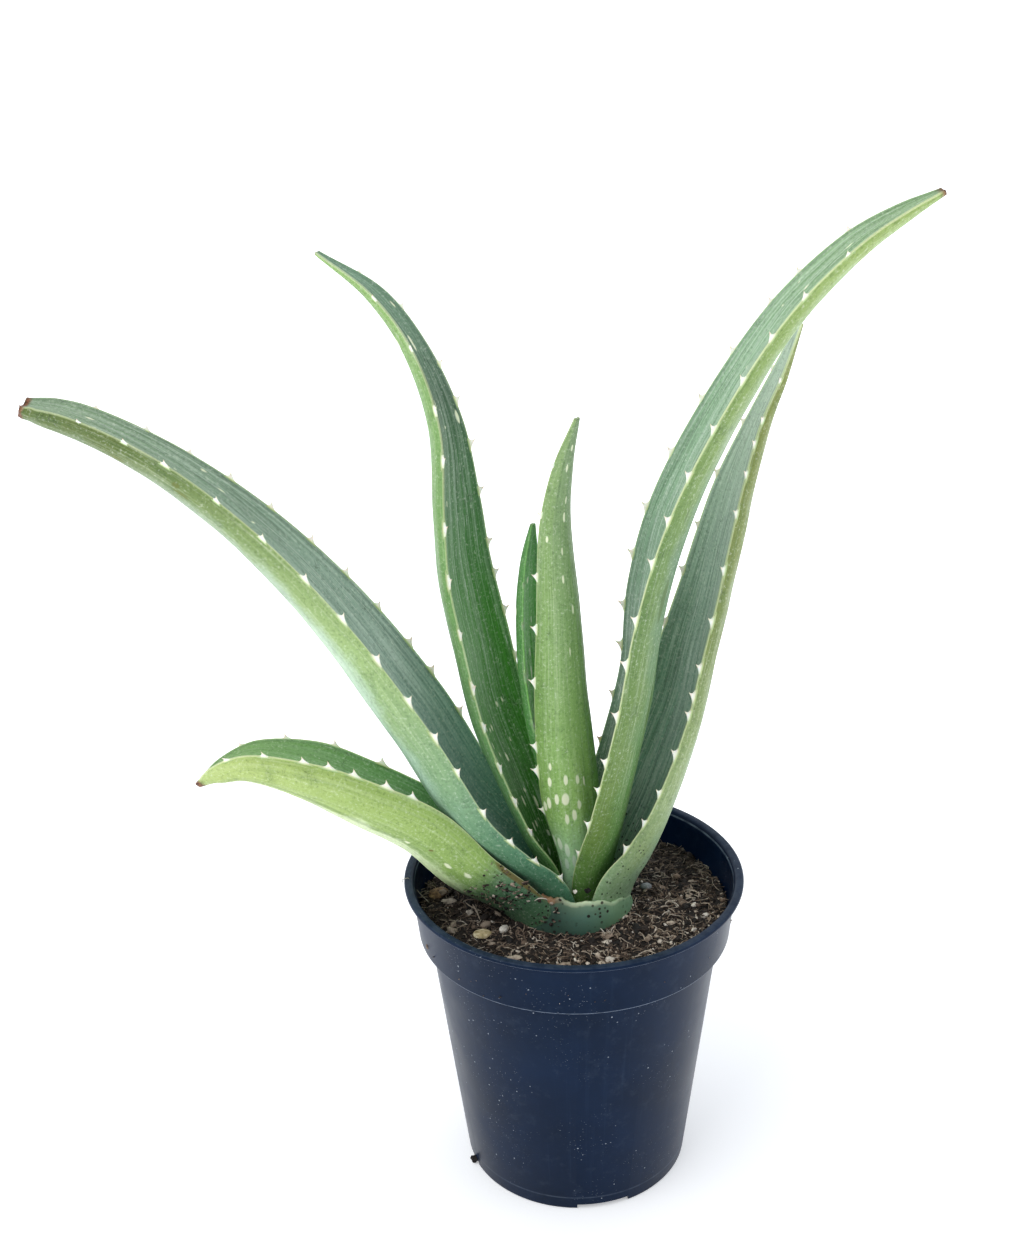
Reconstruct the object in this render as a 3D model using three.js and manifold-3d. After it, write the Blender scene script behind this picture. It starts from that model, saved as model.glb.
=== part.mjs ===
// A potted aloe: one rosette of seven spiny-edged leaves on a short stem, in a round nursery pot.
//
// Millimetres, +Z up. The origin is the middle of the pot's foot, on the surface it stands on.
// +X is to the viewer's right and +Y is away from the viewer.
//
// Every leaf is lofted along its own spine, clasps the ones inside it at its foot, and
// carries its teeth on both edges. The outer leaves are cut clear of the inner ones.

import * as THREE from 'three';
import { mergeVertices } from 'three/addons/utils/BufferGeometryUtils.js';
import Module from 'manifold-3d';

const wasm = await Module();
wasm.setup();

// ---------------------------------------------------------------- driving dimensions

// Pot: a thin moulded plastic pot of the common 12 cm size.
const POT_HEIGHT = 116;
const RIM_RADIUS = 60;
const POT_WALL = 1.2;
const LIP_DROP = 1.6;             // height of the flat lip's edge
const LIP_SHELF = 2.6;            // how far the lip stands out from the collar
const COLLAR_TOP_RADIUS = RIM_RADIUS - LIP_SHELF;
const COLLAR_FOOT_RADIUS = 55.5;
const COLLAR_FOOT_Z = 95;
const COLLAR_STEP = 2.2;          // drop of the small second step under the collar
const BODY_TOP_RADIUS = 51.6;
const FOOT_RADIUS = 40.7;
const FLOOR_RISE = 2.0;           // the floor stands this far above the surface
const PAD_RADIUS = 14;            // middle of the floor, moulded down to the surface
const POT_SEGMENTS = 48;
const DRAIN_HOLES = 8;
const DRAIN_RADIUS = 3.2;
const DRAIN_CIRCLE = 27;
const NOTCHES = 4;                // gaps in the foot that let water out
const NOTCH_WIDTH = 19;
const NOTCH_HEIGHT = 2;
const NOTCH_FIRST_ANGLE = -78.5;  // degrees round from +X

// Soil: peat that fills the pot to a little under the rim.
const SOIL_Z = 103.4;
const SOIL_MOUND = 0.8;           // rise of the soil towards the plant
const SOIL_RELIEF = 1.1;          // half height of its lumps
const SOIL_SEGMENTS = 44;
const SOIL_RINGS = 7;
const SOIL_SEED = 11;

// Loose bits lying in the soil's surface.
// at: its place; size: its length, width and height; turn: degrees round from +X.
const BIT_SUNK = 0.3;             // share of a bit's height that is under the surface
const BIT_ROUGHNESS = 0.3;        // how uneven a bit is
const BITS = [
  { name: 'bark_chip', at: [-48.5, 5.5], size: [8.5, 5.5, 3.8], turn: 25, seed: 31, colour: 0xb08458 },
  { name: 'wood_disc', at: [-32.5, -19.5], size: [7, 6.2, 2.2], turn: 10, seed: 32, colour: 0xc2986a },
  { name: 'perlite_chip', at: [-25, -17.5], size: [4.6, 3.4, 3], turn: 60, seed: 33, colour: 0xe8e4dc },
  { name: 'pebble', at: [26.5, 6], size: [4.6, 3.8, 3.2], turn: 0, seed: 34, colour: 0x8a8a88 },
];

// Stem: a stub with leaf scars, standing in a plain hole in the soil.
const STEM_RADIUS = 17;
const STEM_TOP_RADIUS = 21.4;
const STEM_FOOT_Z = 58;
const STEM_TOP_Z = 96.7;
const STEM_SCARS = 5;
const HEART_RADIUS = 2;           // the growing point inside the youngest leaf
const HEART_TOP_Z = 112;

const GAP = 0.3;                  // clearance between pieces that touch
const LEAF_FOOT_Z = STEM_TOP_Z + GAP;
const LEAF_ROOT_Z = LEAF_FOOT_Z - 2;  // leaves are drawn from here and cut level at their feet

// Leaf section: an arc-shaped upper face and a bulging underside.
const ACROSS = 8;                 // spans across each face
const STEPS = 2;                  // stations to each stretch between two control rows
const EDGE_THICKNESS = 0.9;
const BULGE_POWER = 2.2;          // how full the underside is between middle and edge
const BULGE_ROUND = 0.7;

// Teeth: small triangular spines on both edges, drawn out of the edge itself.
const TOOTH_HEIGHT = 2.7;
const TOOTH_LENGTH = 5.2;         // along the leaf's edge
const TOOTH_TIP = 0.6;            // thickness at its point
const TOOTH_LEAN = 16;            // degrees towards the leaf's tip
const TOOTH_END_SIZE = 0.62;      // size of a tooth at the leaf's foot and tip, of a full one
const TOOTH_MID_GAIN = 0.46;      // and how much larger they are between the two
const TOOTH_PLAY = 0.1;           // how far two like teeth differ in size
const STOP_APART = 0.4;           // a section nearer than this to a tooth's corner gives way to it

// Leaves, from the innermost to the outermost.
// heading: the compass direction it grows in, degrees round from +X.
// rows, from foot to tip: distance out from the stem's axis and height of the middle of the
// upper face, then width across the upper face (measured round the curve), thickness, and
// curl, the half angle of the section's arc, and roll, a turn about the spine, in degrees.
// teeth: how far along the leaf each one stands, on the edge to the right of its heading
// and on the edge to the left.
const LEAVES = [
  {
    name: 'leaf_heart_small',
    heading: 150,
    seed: 21,
    teeth: {
      right: [46, 60, 76, 94, 112, 128],
      left: [49, 63, 80, 98, 116, 130],
    },
    rows: [
      [2.6, LEAF_ROOT_Z, 8.6, 1.6, 95, 0],
      [3.2, 122, 11, 2.2, 90, 0],
      [7.6, 150, 16, 3.6, 60, 0],
      [13.2, 180, 17, 4.2, 28, 0],
      [15.4, 208, 14, 4.2, 22, 0],
      [14.8, 230, 9, 3.2, 18, 0],
      [13.2, 244, 1.6, 1.2, 15, 0],
    ],
  },
  {
    name: 'leaf_centre',
    heading: -40,
    seed: 22,
    teeth: {
      right: [50, 65, 74, 97, 116, 134, 155, 172],
      left: [42, 55, 71, 88, 109, 128, 148, 168],
    },
    rows: [
      [4.8, LEAF_ROOT_Z, 15.9, 1.9, 95, 0],
      [5.6, 122, 18.5, 3.5, 95, 0],
      [1, 150, 25.5, 6.5, 58, 0],
      [-3.5, 180, 22.5, 7.5, 42, 0],
      [-5, 212, 18, 6.5, 34, 0],
      [-6, 246, 12.5, 4.5, 28, 0],
      [-2.5, 266, 8, 3, 22, 0],
      [3, 282, 1.6, 1.2, 15, 0],
    ],
  },
  {
    name: 'leaf_left_upright',
    heading: 152,
    seed: 23,
    teeth: {
      right: [29, 41, 53, 67, 82, 97, 114, 128, 140, 159, 176, 191, 204, 226, 244],
      left: [41, 53, 66, 82, 97, 116, 135, 153, 175, 191, 212, 232],
    },
    rows: [
      [7.3, LEAF_ROOT_Z, 24.2, 2.1, 95, 0],
      [8.6, 116, 28, 2.6, 86, 0],
      [14.5, 132, 33, 3.4, 54, 0],
      [22.5, 151, 34, 4.2, 44, 0],
      [31.5, 173.5, 33, 5, 42, 0],
      [36.7, 199, 32, 5.5, 36, 0],
      [41.5, 223.5, 30, 5.8, 33, 0],
      [42.6, 246.5, 25, 6, 29, 0],
      [44.2, 274.5, 15, 6, 26, 0],
      [54, 299, 9.5, 5, 22, 0],
      [69, 316, 8, 3.6, 20, 0],
      [91, 328, 1.8, 1.4, 15, 0],
    ],
  },
  {
    name: 'leaf_right_long',
    heading: 2,
    seed: 24,
    teeth: {
      right: [34, 47, 61, 72, 90, 109, 124, 143, 157, 172, 188, 205, 220, 235, 252],
      left: [34, 48, 62, 80, 99, 114, 133, 150, 170, 190, 208, 227, 239, 258],
    },
    rows: [
      [10, LEAF_ROOT_Z, 33.2, 2.3, 95, 0],
      [10.8, 118, 36, 3, 92, 0],
      [14.5, 142, 40, 4.5, 54, -5],
      [21.5, 182, 42, 5.5, 34, -7],
      [26, 216, 42, 5.6, 34, -3],
      [33.5, 247, 36, 5.6, 34, 0],
      [49.5, 282, 31, 5, 32, 0],
      [69, 313, 25.5, 4.6, 28, 0],
      [89, 333, 20.5, 4, 25, 0],
      [103, 342.3, 13, 3, 22, 0],
      [114, 348, 4, 1.8, 18, 0],
    ],
  },
  {
    name: 'leaf_left_long',
    heading: 178,
    seed: 25,
    teeth: {
      right: [30, 44, 60, 80, 98, 111, 128, 144, 160, 177, 193, 208, 223, 240],
      left: [21, 31, 42, 59, 77, 91, 106, 123, 140, 157, 175, 193, 212, 226, 241],
    },
    rows: [
      [12.9, LEAF_ROOT_Z, 42.8, 2.4, 95, 0],
      [15, 112, 46, 3, 88, 0],
      [24, 125, 47, 4.5, 66, 0],
      [36, 140, 47, 6.5, 57, 0],
      [54.5, 175, 46, 7.8, 54, 0],
      [77.5, 213, 38, 7.5, 50, 0],
      [102.5, 244.7, 28.5, 7.2, 44, 0],
      [130, 269.2, 20.5, 7, 38, 0],
      [157, 284.4, 17, 6.3, 30, 0],
      [173, 289, 13, 5, 22, 0],
    ],
  },
  {
    name: 'leaf_right_back',
    heading: 22,
    seed: 26,
    teeth: {
      right: [32, 43, 55, 70, 85, 92, 102, 118, 136, 155, 168, 178, 186, 200],
      left: [32, 45, 58, 73, 90, 108, 128, 145, 164, 183, 203],
    },
    rows: [
      [15.9, LEAF_ROOT_Z, 52.7, 2.4, 95, 0],
      [17.5, 112, 54, 4.5, 92, 0],
      [23, 124, 48, 6, 74, 0],
      [30.5, 140, 43, 6.2, 58, 0],
      [42, 171, 36, 5.6, 48, 0],
      [47, 193.5, 31, 5.8, 42, 0],
      [51.6, 212, 27, 6, 38, 0],
      [56, 232, 22.5, 6.4, 34, 0],
      [60.6, 250.4, 17.5, 6.2, 30, 0],
      [67.6, 270.6, 9.5, 5.4, 24, 0],
      [76, 287, 6.5, 3.5, 20, 0],
      [83.5, 303, 2, 1.3, 15, 0],
    ],
  },
  {
    name: 'leaf_low_left',
    heading: 182,
    seed: 27,
    sheath: { radius: 19.2, thickness: 2.4, reach: 168, top: 116.8, fall: 8, dip: 4 },
    teeth: {
      right: [26, 39, 56, 74, 92, 109, 124],
      left: [67, 76, 87, 95, 103, 115, 126],
    },
    rows: [
      [19, LEAF_ROOT_Z, 50, 2.6, 75, 0],
      [23, 105, 53, 3.6, 78, 2],
      [40, 122, 48, 8.5, 70, 8],
      [53, 138.5, 40, 11, 58, 15],
      [69.8, 150.5, 38, 12, 48, 15],
      [89.5, 161, 34, 10.5, 42, 13],
      [110, 167, 21, 9, 30, 13],
      [122, 163.5, 10, 6.5, 24, 13],
      [128.8, 157.5, 3, 2, 18, 13],
    ],
  },
];

// ---------------------------------------------------------------- colours and finishes

function finish(colour, roughness) {
  return new THREE.MeshStandardMaterial({ color: colour, roughness, metalness: 0 });
}

const potPlastic = finish(0x1a2a44, 0.35);
const peat = finish(0x2a1c15, 1.0);
const stemSkin = finish(0x6f7a45, 0.7);
const leafSkin = finish(0x6d9663, 0.5);

// ---------------------------------------------------------------- seeded draws

// A small repeatable generator of numbers from 0 to 1.
function drawsFrom(seed) {
  let state = (seed * 2654435761) % 4294967296;
  return function draw() {
    state = (state * 1664525 + 1013904223) % 4294967296;
    return state / 4294967296;
  };
}

// ---------------------------------------------------------------- solids

// Turn a closed geometry into a solid that can be cut and joined.
function solidFrom(geometry) {
  const bare = new THREE.BufferGeometry();
  bare.setAttribute('position', geometry.getAttribute('position').clone());
  if (geometry.index) bare.setIndex(geometry.index.clone());
  const merged = mergeVertices(bare, 1e-4);
  const corners = merged.index.array;
  const kept = [];
  for (let i = 0; i < corners.length; i += 3) {
    const [a, b, c] = [corners[i], corners[i + 1], corners[i + 2]];
    if (a !== b && b !== c && c !== a) kept.push(a, b, c);
  }
  return new wasm.Manifold(new wasm.Mesh({
    numProp: 3,
    vertProperties: Float32Array.from(merged.getAttribute('position').array),
    triVerts: Uint32Array.from(kept),
  }));
}

// The largest piece of a cut solid; crumbs left by a cut are dropped.
function largestOf(solid) {
  const pieces = solid.decompose();
  pieces.sort((a, b) => b.volume() - a.volume());
  return pieces[0];
}

function geometryFrom(solid) {
  const mesh = solid.getMesh();
  const geometry = new THREE.BufferGeometry();
  geometry.setAttribute('position', new THREE.BufferAttribute(mesh.vertProperties, 3));
  geometry.setIndex(new THREE.BufferAttribute(mesh.triVerts, 1));
  geometry.computeVertexNormals();
  return geometry;
}

function named(name, geometry, material) {
  const mesh = new THREE.Mesh(geometry, material.clone());
  mesh.name = name;
  return mesh;
}

// A profile of [radius, height] pairs turned round the Z axis.
function turned(profile, segments) {
  const points = profile.map(([radius, z]) => new THREE.Vector2(radius, z));
  const geometry = new THREE.LatheGeometry(points, segments);
  geometry.rotateX(Math.PI / 2);
  return geometry;
}

// ---------------------------------------------------------------- pot

function potProfile() {
  const wall = POT_WALL;
  const lipUnder = POT_HEIGHT - LIP_DROP;
  const secondStepZ = COLLAR_FOOT_Z - COLLAR_STEP;
  const outside = [
    [PAD_RADIUS, 0],
    [PAD_RADIUS + 2, FLOOR_RISE],
    [FOOT_RADIUS - 1.5, FLOOR_RISE],
    [FOOT_RADIUS - 1.3, 0],
    [FOOT_RADIUS - 0.4, 0],
    [FOOT_RADIUS, 0.5],
    [BODY_TOP_RADIUS, secondStepZ],
    [BODY_TOP_RADIUS + 1.2, secondStepZ + 0.4],
    [BODY_TOP_RADIUS + 1.4, COLLAR_FOOT_Z - 0.4],
    [COLLAR_FOOT_RADIUS - 0.4, COLLAR_FOOT_Z],
    [COLLAR_FOOT_RADIUS, COLLAR_FOOT_Z + 0.5],
    [COLLAR_TOP_RADIUS, lipUnder - 0.4],
    [RIM_RADIUS - 0.4, lipUnder],
    [RIM_RADIUS, lipUnder + 0.4],
    [RIM_RADIUS, POT_HEIGHT - 0.4],
    [RIM_RADIUS - 0.5, POT_HEIGHT],
  ];
  const inside = [
    [COLLAR_TOP_RADIUS + 0.2, POT_HEIGHT],
    [COLLAR_TOP_RADIUS - 0.6, POT_HEIGHT - 0.6],
    [COLLAR_TOP_RADIUS - wall, lipUnder - 1],
    [COLLAR_FOOT_RADIUS - wall, COLLAR_FOOT_Z + wall],
    [BODY_TOP_RADIUS - wall, COLLAR_FOOT_Z + wall - 0.4],
    [FOOT_RADIUS - wall + 0.3, FLOOR_RISE + wall + 1.5],
    [FOOT_RADIUS - wall - 1.2, FLOOR_RISE + wall],
    [PAD_RADIUS + 1.4, FLOOR_RISE + wall],
    [PAD_RADIUS - 0.6, wall],
  ];
  return [[0, 0], ...outside, ...inside, [0, wall]];
}

function pot() {
  let body = solidFrom(turned(potProfile(), POT_SEGMENTS));
  for (let i = 0; i < DRAIN_HOLES; i += 1) {
    const angle = ((i + 0.5) / DRAIN_HOLES) * 2 * Math.PI;
    const hole = new THREE.CylinderGeometry(DRAIN_RADIUS, DRAIN_RADIUS, 8, 12);
    hole.rotateX(Math.PI / 2);
    hole.translate(DRAIN_CIRCLE * Math.cos(angle), DRAIN_CIRCLE * Math.sin(angle), FLOOR_RISE);
    body = body.subtract(solidFrom(hole));
  }
  for (let i = 0; i < NOTCHES; i += 1) {
    const notch = new THREE.BoxGeometry(8, NOTCH_WIDTH, 2 * NOTCH_HEIGHT);
    notch.translate(FOOT_RADIUS, 0, 0);
    notch.rotateZ(THREE.MathUtils.degToRad(NOTCH_FIRST_ANGLE + (i * 360) / NOTCHES));
    body = body.subtract(solidFrom(notch));
  }
  return body;
}

// ---------------------------------------------------------------- soil

// Lumps in the soil: a few waves at seeded angles and phases.
function soilWaves() {
  const draw = drawsFrom(SOIL_SEED);
  return Array.from({ length: 7 }, (_, i) => ({
    angle: draw() * Math.PI,
    length: 38 - 4 * i,
    phase: draw() * 2 * Math.PI,
  }));
}

function soilRelief(waves, x, y) {
  let sum = 0;
  for (const wave of waves) {
    const along = x * Math.cos(wave.angle) + y * Math.sin(wave.angle);
    sum += Math.sin((along / wave.length) * 2 * Math.PI + wave.phase);
  }
  return (sum / Math.sqrt(waves.length)) * SOIL_RELIEF * 0.6;
}

function soilHeight(waves, x, y) {
  const radius = Math.hypot(x, y);
  const mound = SOIL_MOUND * Math.exp(-(((radius - STEM_TOP_RADIUS) / 14) ** 2));
  return SOIL_Z + mound + soilRelief(waves, x, y);
}

function soil() {
  const fit = GAP + 0.1;
  const holeRadius = STEM_TOP_RADIUS + 0.6;
  const surfaceRadius = COLLAR_FOOT_RADIUS - POT_WALL - fit + 0.4;
  const floorZ = FLOOR_RISE + POT_WALL + fit;
  const ledgeZ = COLLAR_FOOT_Z + POT_WALL + fit;
  const surface = [];
  for (let ring = 0; ring <= SOIL_RINGS; ring += 1) {
    const radius = surfaceRadius + ((holeRadius - surfaceRadius) * ring) / SOIL_RINGS;
    surface.push([radius, SOIL_Z]);
  }
  const profile = [
    [0, POT_WALL + fit],
    [PAD_RADIUS - 1, POT_WALL + fit],
    [PAD_RADIUS + 1, floorZ],
    [FOOT_RADIUS - POT_WALL - 1.6, floorZ],
    [FOOT_RADIUS - POT_WALL - 0.1, floorZ + 1.5],
    [BODY_TOP_RADIUS - POT_WALL - fit, ledgeZ - 0.4],
    [COLLAR_FOOT_RADIUS - POT_WALL - fit, ledgeZ],
    ...surface,
    [holeRadius, STEM_TOP_Z - 7],
    [STEM_RADIUS + 0.7, STEM_TOP_Z - 7],
    [STEM_RADIUS + 0.7, STEM_FOOT_Z - 0.4],
    [0, STEM_FOOT_Z - 0.4],
  ];
  const geometry = turned(profile, SOIL_SEGMENTS);
  const waves = soilWaves();
  const draw = drawsFrom(SOIL_SEED + 1);
  const crumbs = Array.from({ length: SOIL_SEGMENTS * (SOIL_RINGS + 1) }, () => draw() - 0.5);
  const place = geometry.getAttribute('position');
  for (let i = 0; i < place.count; i += 1) {
    if (Math.abs(place.getZ(i) - SOIL_Z) > 1e-6) continue;
    const [x, y] = [place.getX(i), place.getY(i)];
    const turn = Math.round((Math.atan2(y, x) / (2 * Math.PI)) * SOIL_SEGMENTS);
    const spoke = (turn + SOIL_SEGMENTS) % SOIL_SEGMENTS;
    const reach = (surfaceRadius - Math.hypot(x, y)) / (surfaceRadius - holeRadius);
    const ring = Math.round(reach * SOIL_RINGS);
    const crumb = crumbs[ring * SOIL_SEGMENTS + spoke] * SOIL_RELIEF;
    place.setZ(i, soilHeight(waves, x, y) + crumb);
  }
  return solidFrom(geometry);
}

// A rough lump with the bit's length, width and height, swollen by grow.
function bit({ at, size, turn, seed }, grow) {
  const ball = new THREE.IcosahedronGeometry(1, 1);
  ball.deleteAttribute('normal');
  ball.deleteAttribute('uv');
  const geometry = mergeVertices(ball, 1e-4);
  const draw = drawsFrom(seed);
  const place = geometry.getAttribute('position');
  for (let i = 0; i < place.count; i += 1) {
    const reach = 1 - BIT_ROUGHNESS * draw();
    place.setXYZ(
      i,
      place.getX(i) * (reach * (size[0] / 2) + grow),
      place.getY(i) * (reach * (size[1] / 2) + grow),
      place.getZ(i) * (reach * (size[2] / 2) + grow),
    );
  }
  geometry.rotateZ(THREE.MathUtils.degToRad(turn));
  const middleZ = soilHeight(soilWaves(), at[0], at[1]) + (0.5 - BIT_SUNK) * size[2];
  geometry.translate(at[0], at[1], middleZ);
  return solidFrom(geometry);
}

// ---------------------------------------------------------------- stem

function stem() {
  const foot = STEM_FOOT_Z;
  const flareZ = STEM_TOP_Z - 5;
  const profile = [[0, foot], [9, foot], [13.5, foot + 5], [STEM_RADIUS - 1, foot + 11]];
  const scarStep = (flareZ - foot - 13) / STEM_SCARS;
  for (let i = 0; i < STEM_SCARS; i += 1) {
    const z = foot + 13 + i * scarStep;
    profile.push([STEM_RADIUS, z], [STEM_RADIUS - 0.7, z + 0.6 * scarStep]);
  }
  profile.push([STEM_TOP_RADIUS - 1.5, flareZ + 2.5]);
  profile.push([STEM_TOP_RADIUS, STEM_TOP_Z - 1.2]);
  profile.push([STEM_TOP_RADIUS, STEM_TOP_Z]);
  profile.push([HEART_RADIUS, STEM_TOP_Z]);
  profile.push([HEART_RADIUS * 0.8, HEART_TOP_Z - 3]);
  profile.push([0, HEART_TOP_Z]);
  return solidFrom(turned(profile, 28));
}

// ---------------------------------------------------------------- leaves

// Everything that is needed to find any point of one leaf.
function leafPlan(leaf) {
  const heading = THREE.MathUtils.degToRad(leaf.heading);
  const outward = new THREE.Vector3(Math.cos(heading), Math.sin(heading), 0);
  const sideways = new THREE.Vector3(-Math.sin(heading), Math.cos(heading), 0);
  const spots = leaf.rows.map(([out, up]) => new THREE.Vector3()
    .addScaledVector(outward, out)
    .setZ(up));
  const shapes = leaf.rows.map(([, , width, thick, curl]) => new THREE.Vector3(width, thick, curl));
  const rolls = leaf.rows.map(([, , , , , roll]) => new THREE.Vector3(roll, 0, 0));
  return {
    spine: new THREE.CatmullRomCurve3(spots, false, 'centripetal'),
    shape: new THREE.CatmullRomCurve3(shapes, false, 'catmullrom', 0.5),
    turns: new THREE.CatmullRomCurve3(rolls, false, 'catmullrom', 0.5),
    sideways,
    steps: (leaf.rows.length - 1) * STEPS,
  };
}

// The leaf's frame and section at a place t, from 0 at its foot to 1 at its tip.
function stationAt(plan, t) {
  const along = plan.spine.getTangent(t);
  const side = plan.sideways.clone().addScaledVector(along, -plan.sideways.dot(along)).normalize();
  side.applyAxisAngle(along, THREE.MathUtils.degToRad(plan.turns.getPoint(t).x));
  const up = new THREE.Vector3().crossVectors(along, side);
  const shape = plan.shape.getPoint(t);
  const curl = THREE.MathUtils.degToRad(shape.z);
  return {
    middle: plan.spine.getPoint(t),
    along,
    side,
    up,
    curl,
    radius: shape.x / (2 * curl),
    thickness: shape.y,
  };
}

// A point of the section: s runs from -1 to 1 across it, depth is measured down from the
// upper face, and grow swells the whole leaf by that much.
function sectionPoint(station, s, depth, grow) {
  const angle = s * (station.curl + grow / station.radius);
  const reach = station.radius + depth;
  return station.middle.clone()
    .addScaledVector(station.side, reach * Math.sin(angle))
    .addScaledVector(station.up, station.radius - reach * Math.cos(angle));
}

function thicknessAt(station, s) {
  const edge = Math.min(EDGE_THICKNESS, station.thickness * 0.8);
  const full = (1 - Math.abs(s) ** BULGE_POWER) ** BULGE_ROUND;
  return edge + (station.thickness - edge) * full;
}

// Where each tooth of one edge starts, has its point and ends, and how far it stands out.
// Teeth are largest a little below the middle of the leaf.
function toothSpans(leaf, plan, edge) {
  const draw = drawsFrom(leaf.seed * 10 + edge);
  const length = plan.spine.getLength();
  return leaf.teeth[edge < 0 ? 'right' : 'left'].map((run) => {
    const swell = Math.sin(Math.PI * (run / length) ** 0.8);
    const play = 1 + TOOTH_PLAY * (2 * draw() - 1);
    const size = (TOOTH_END_SIZE + TOOTH_MID_GAIN * swell) * play;
    const height = TOOTH_HEIGHT * size;
    const lean = height * Math.tan(THREE.MathUtils.degToRad(TOOTH_LEAN));
    const half = (TOOTH_LENGTH * size) / 2;
    const place = (away) => plan.spine.getUtoTmapping((run + away) / length);
    return { from: place(-half), point: place(lean), to: place(half), height };
  });
}

// The stops of one edge: the leaf's stations and the corners of its teeth, each with how far
// it stands out and its share of the way up the tooth.
function edgeStops(leaf, plan, edge) {
  const spans = toothSpans(leaf, plan, edge);
  const corners = spans.flatMap(({ from, point, to }) => [from, point, to]);
  const apart = STOP_APART / plan.spine.getLength();
  const places = Array.from({ length: plan.steps + 1 }, (_, k) => k / plan.steps)
    .filter((t) => corners.every((corner) => Math.abs(corner - t) > apart))
    .concat(corners)
    .sort((a, b) => a - b);
  return places.map((t) => {
    const span = spans.find(({ from, to }) => t > from && t < to);
    if (!span) return { t, out: 0, share: 0 };
    const share = t < span.point
      ? (t - span.from) / (span.point - span.from)
      : (span.to - t) / (span.to - span.point);
    return { t, out: share * span.height, share };
  });
}

// A point of the rim; on a tooth it stands out from the edge and the rim thins to a point.
function edgePoint(plan, { t, out, share }, edge, face, grow) {
  const station = stationAt(plan, t);
  const thick = thicknessAt(station, edge);
  const half = THREE.MathUtils.lerp(thick, Math.min(TOOTH_TIP, thick), share) / 2 + grow;
  const outwards = station.side.clone().multiplyScalar(edge * Math.cos(station.curl))
    .addScaledVector(station.up, Math.sin(station.curl));
  return sectionPoint(station, edge, thick / 2 + (face === 0 ? -half : half), grow)
    .addScaledVector(outwards, out);
}

// A point of the upper face (0) or of the underside (1).
function facePoint(plan, t, s, face, grow) {
  const station = stationAt(plan, t);
  const depth = face === 0 ? -grow : thicknessAt(station, s) + grow;
  return sectionPoint(station, s, depth, grow);
}

// The lines of points from foot to tip, in order round the section: across the upper face
// and back across the underside. A line next to the rim also stops at the feet of its teeth,
// so that no facet folds over beside a tooth.
function leafLines(leaf, plan, grow) {
  const even = Array.from({ length: plan.steps + 1 }, (_, k) => ({ t: k / plan.steps }));
  const rims = [-1, 1].map((edge) => edgeStops(leaf, plan, edge));
  const lines = [];
  for (const face of [0, 1]) {
    for (let i = 0; i <= ACROSS; i += 1) {
      const column = face === 0 ? i : ACROSS - i;
      const part = (2 * column) / ACROSS - 1;
      const s = (part + Math.sin((Math.PI / 2) * part)) / 2;
      const rim = rims[s < 0 ? 0 : 1];
      const toRim = Math.min(column, ACROSS - column);
      const stops = toRim === 1 ? rim.filter(({ share }) => share < 1) : even;
      const points = toRim === 0
        ? rim.map((stop) => ({ t: stop.t, at: edgePoint(plan, stop, s, face, grow) }))
        : stops.map(({ t }) => ({ t, at: facePoint(plan, t, s, face, grow) }));
      lines.push({ face, points });
    }
  }
  return lines;
}

// Triangles between two neighbouring lines, which may have their stops at different places.
// Both faces of the leaf are split along the same diagonals.
function zip(a, b) {
  const faces = [];
  let [i, j] = [0, 0];
  while (i < a.points.length - 1 || j < b.points.length - 1) {
    const nextA = a.points[i + 1]?.t ?? Infinity;
    const nextB = b.points[j + 1]?.t ?? Infinity;
    if (nextA < nextB || (nextA === nextB && a.face === 0)) {
      faces.push(a.first + i, a.first + i + 1, b.first + j);
      i += 1;
    } else {
      faces.push(a.first + i, b.first + j + 1, b.first + j);
      j += 1;
    }
  }
  return faces;
}

// Close one end of the leaf between its upper face and its underside.
function endCap(lines, end) {
  const faces = [];
  const last = lines.length - 1;
  const at = (line) => lines[line].first + (end === 0 ? 0 : lines[line].points.length - 1);
  for (let i = 0; i < ACROSS; i += 1) {
    const [a, b, c, d] = [at(i), at(i + 1), at(last - i - 1), at(last - i)];
    if (end === 0) faces.push(a, b, c, a, c, d);
    else faces.push(a, c, b, a, d, c);
  }
  return faces;
}

function leafBlade(leaf, plan, grow) {
  const lines = leafLines(leaf, plan, grow);
  let count = 0;
  for (const line of lines) {
    line.first = count;
    count += line.points.length;
  }
  const faces = lines.flatMap((line, i) => zip(line, lines[(i + 1) % lines.length]));
  const geometry = new THREE.BufferGeometry();
  geometry.setAttribute('position', new THREE.Float32BufferAttribute(
    lines.flatMap(({ points }) => points.flatMap(({ at }) => at.toArray())),
    3,
  ));
  geometry.setIndex([...faces, ...endCap(lines, 0), ...endCap(lines, 1)]);
  return geometry;
}

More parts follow.
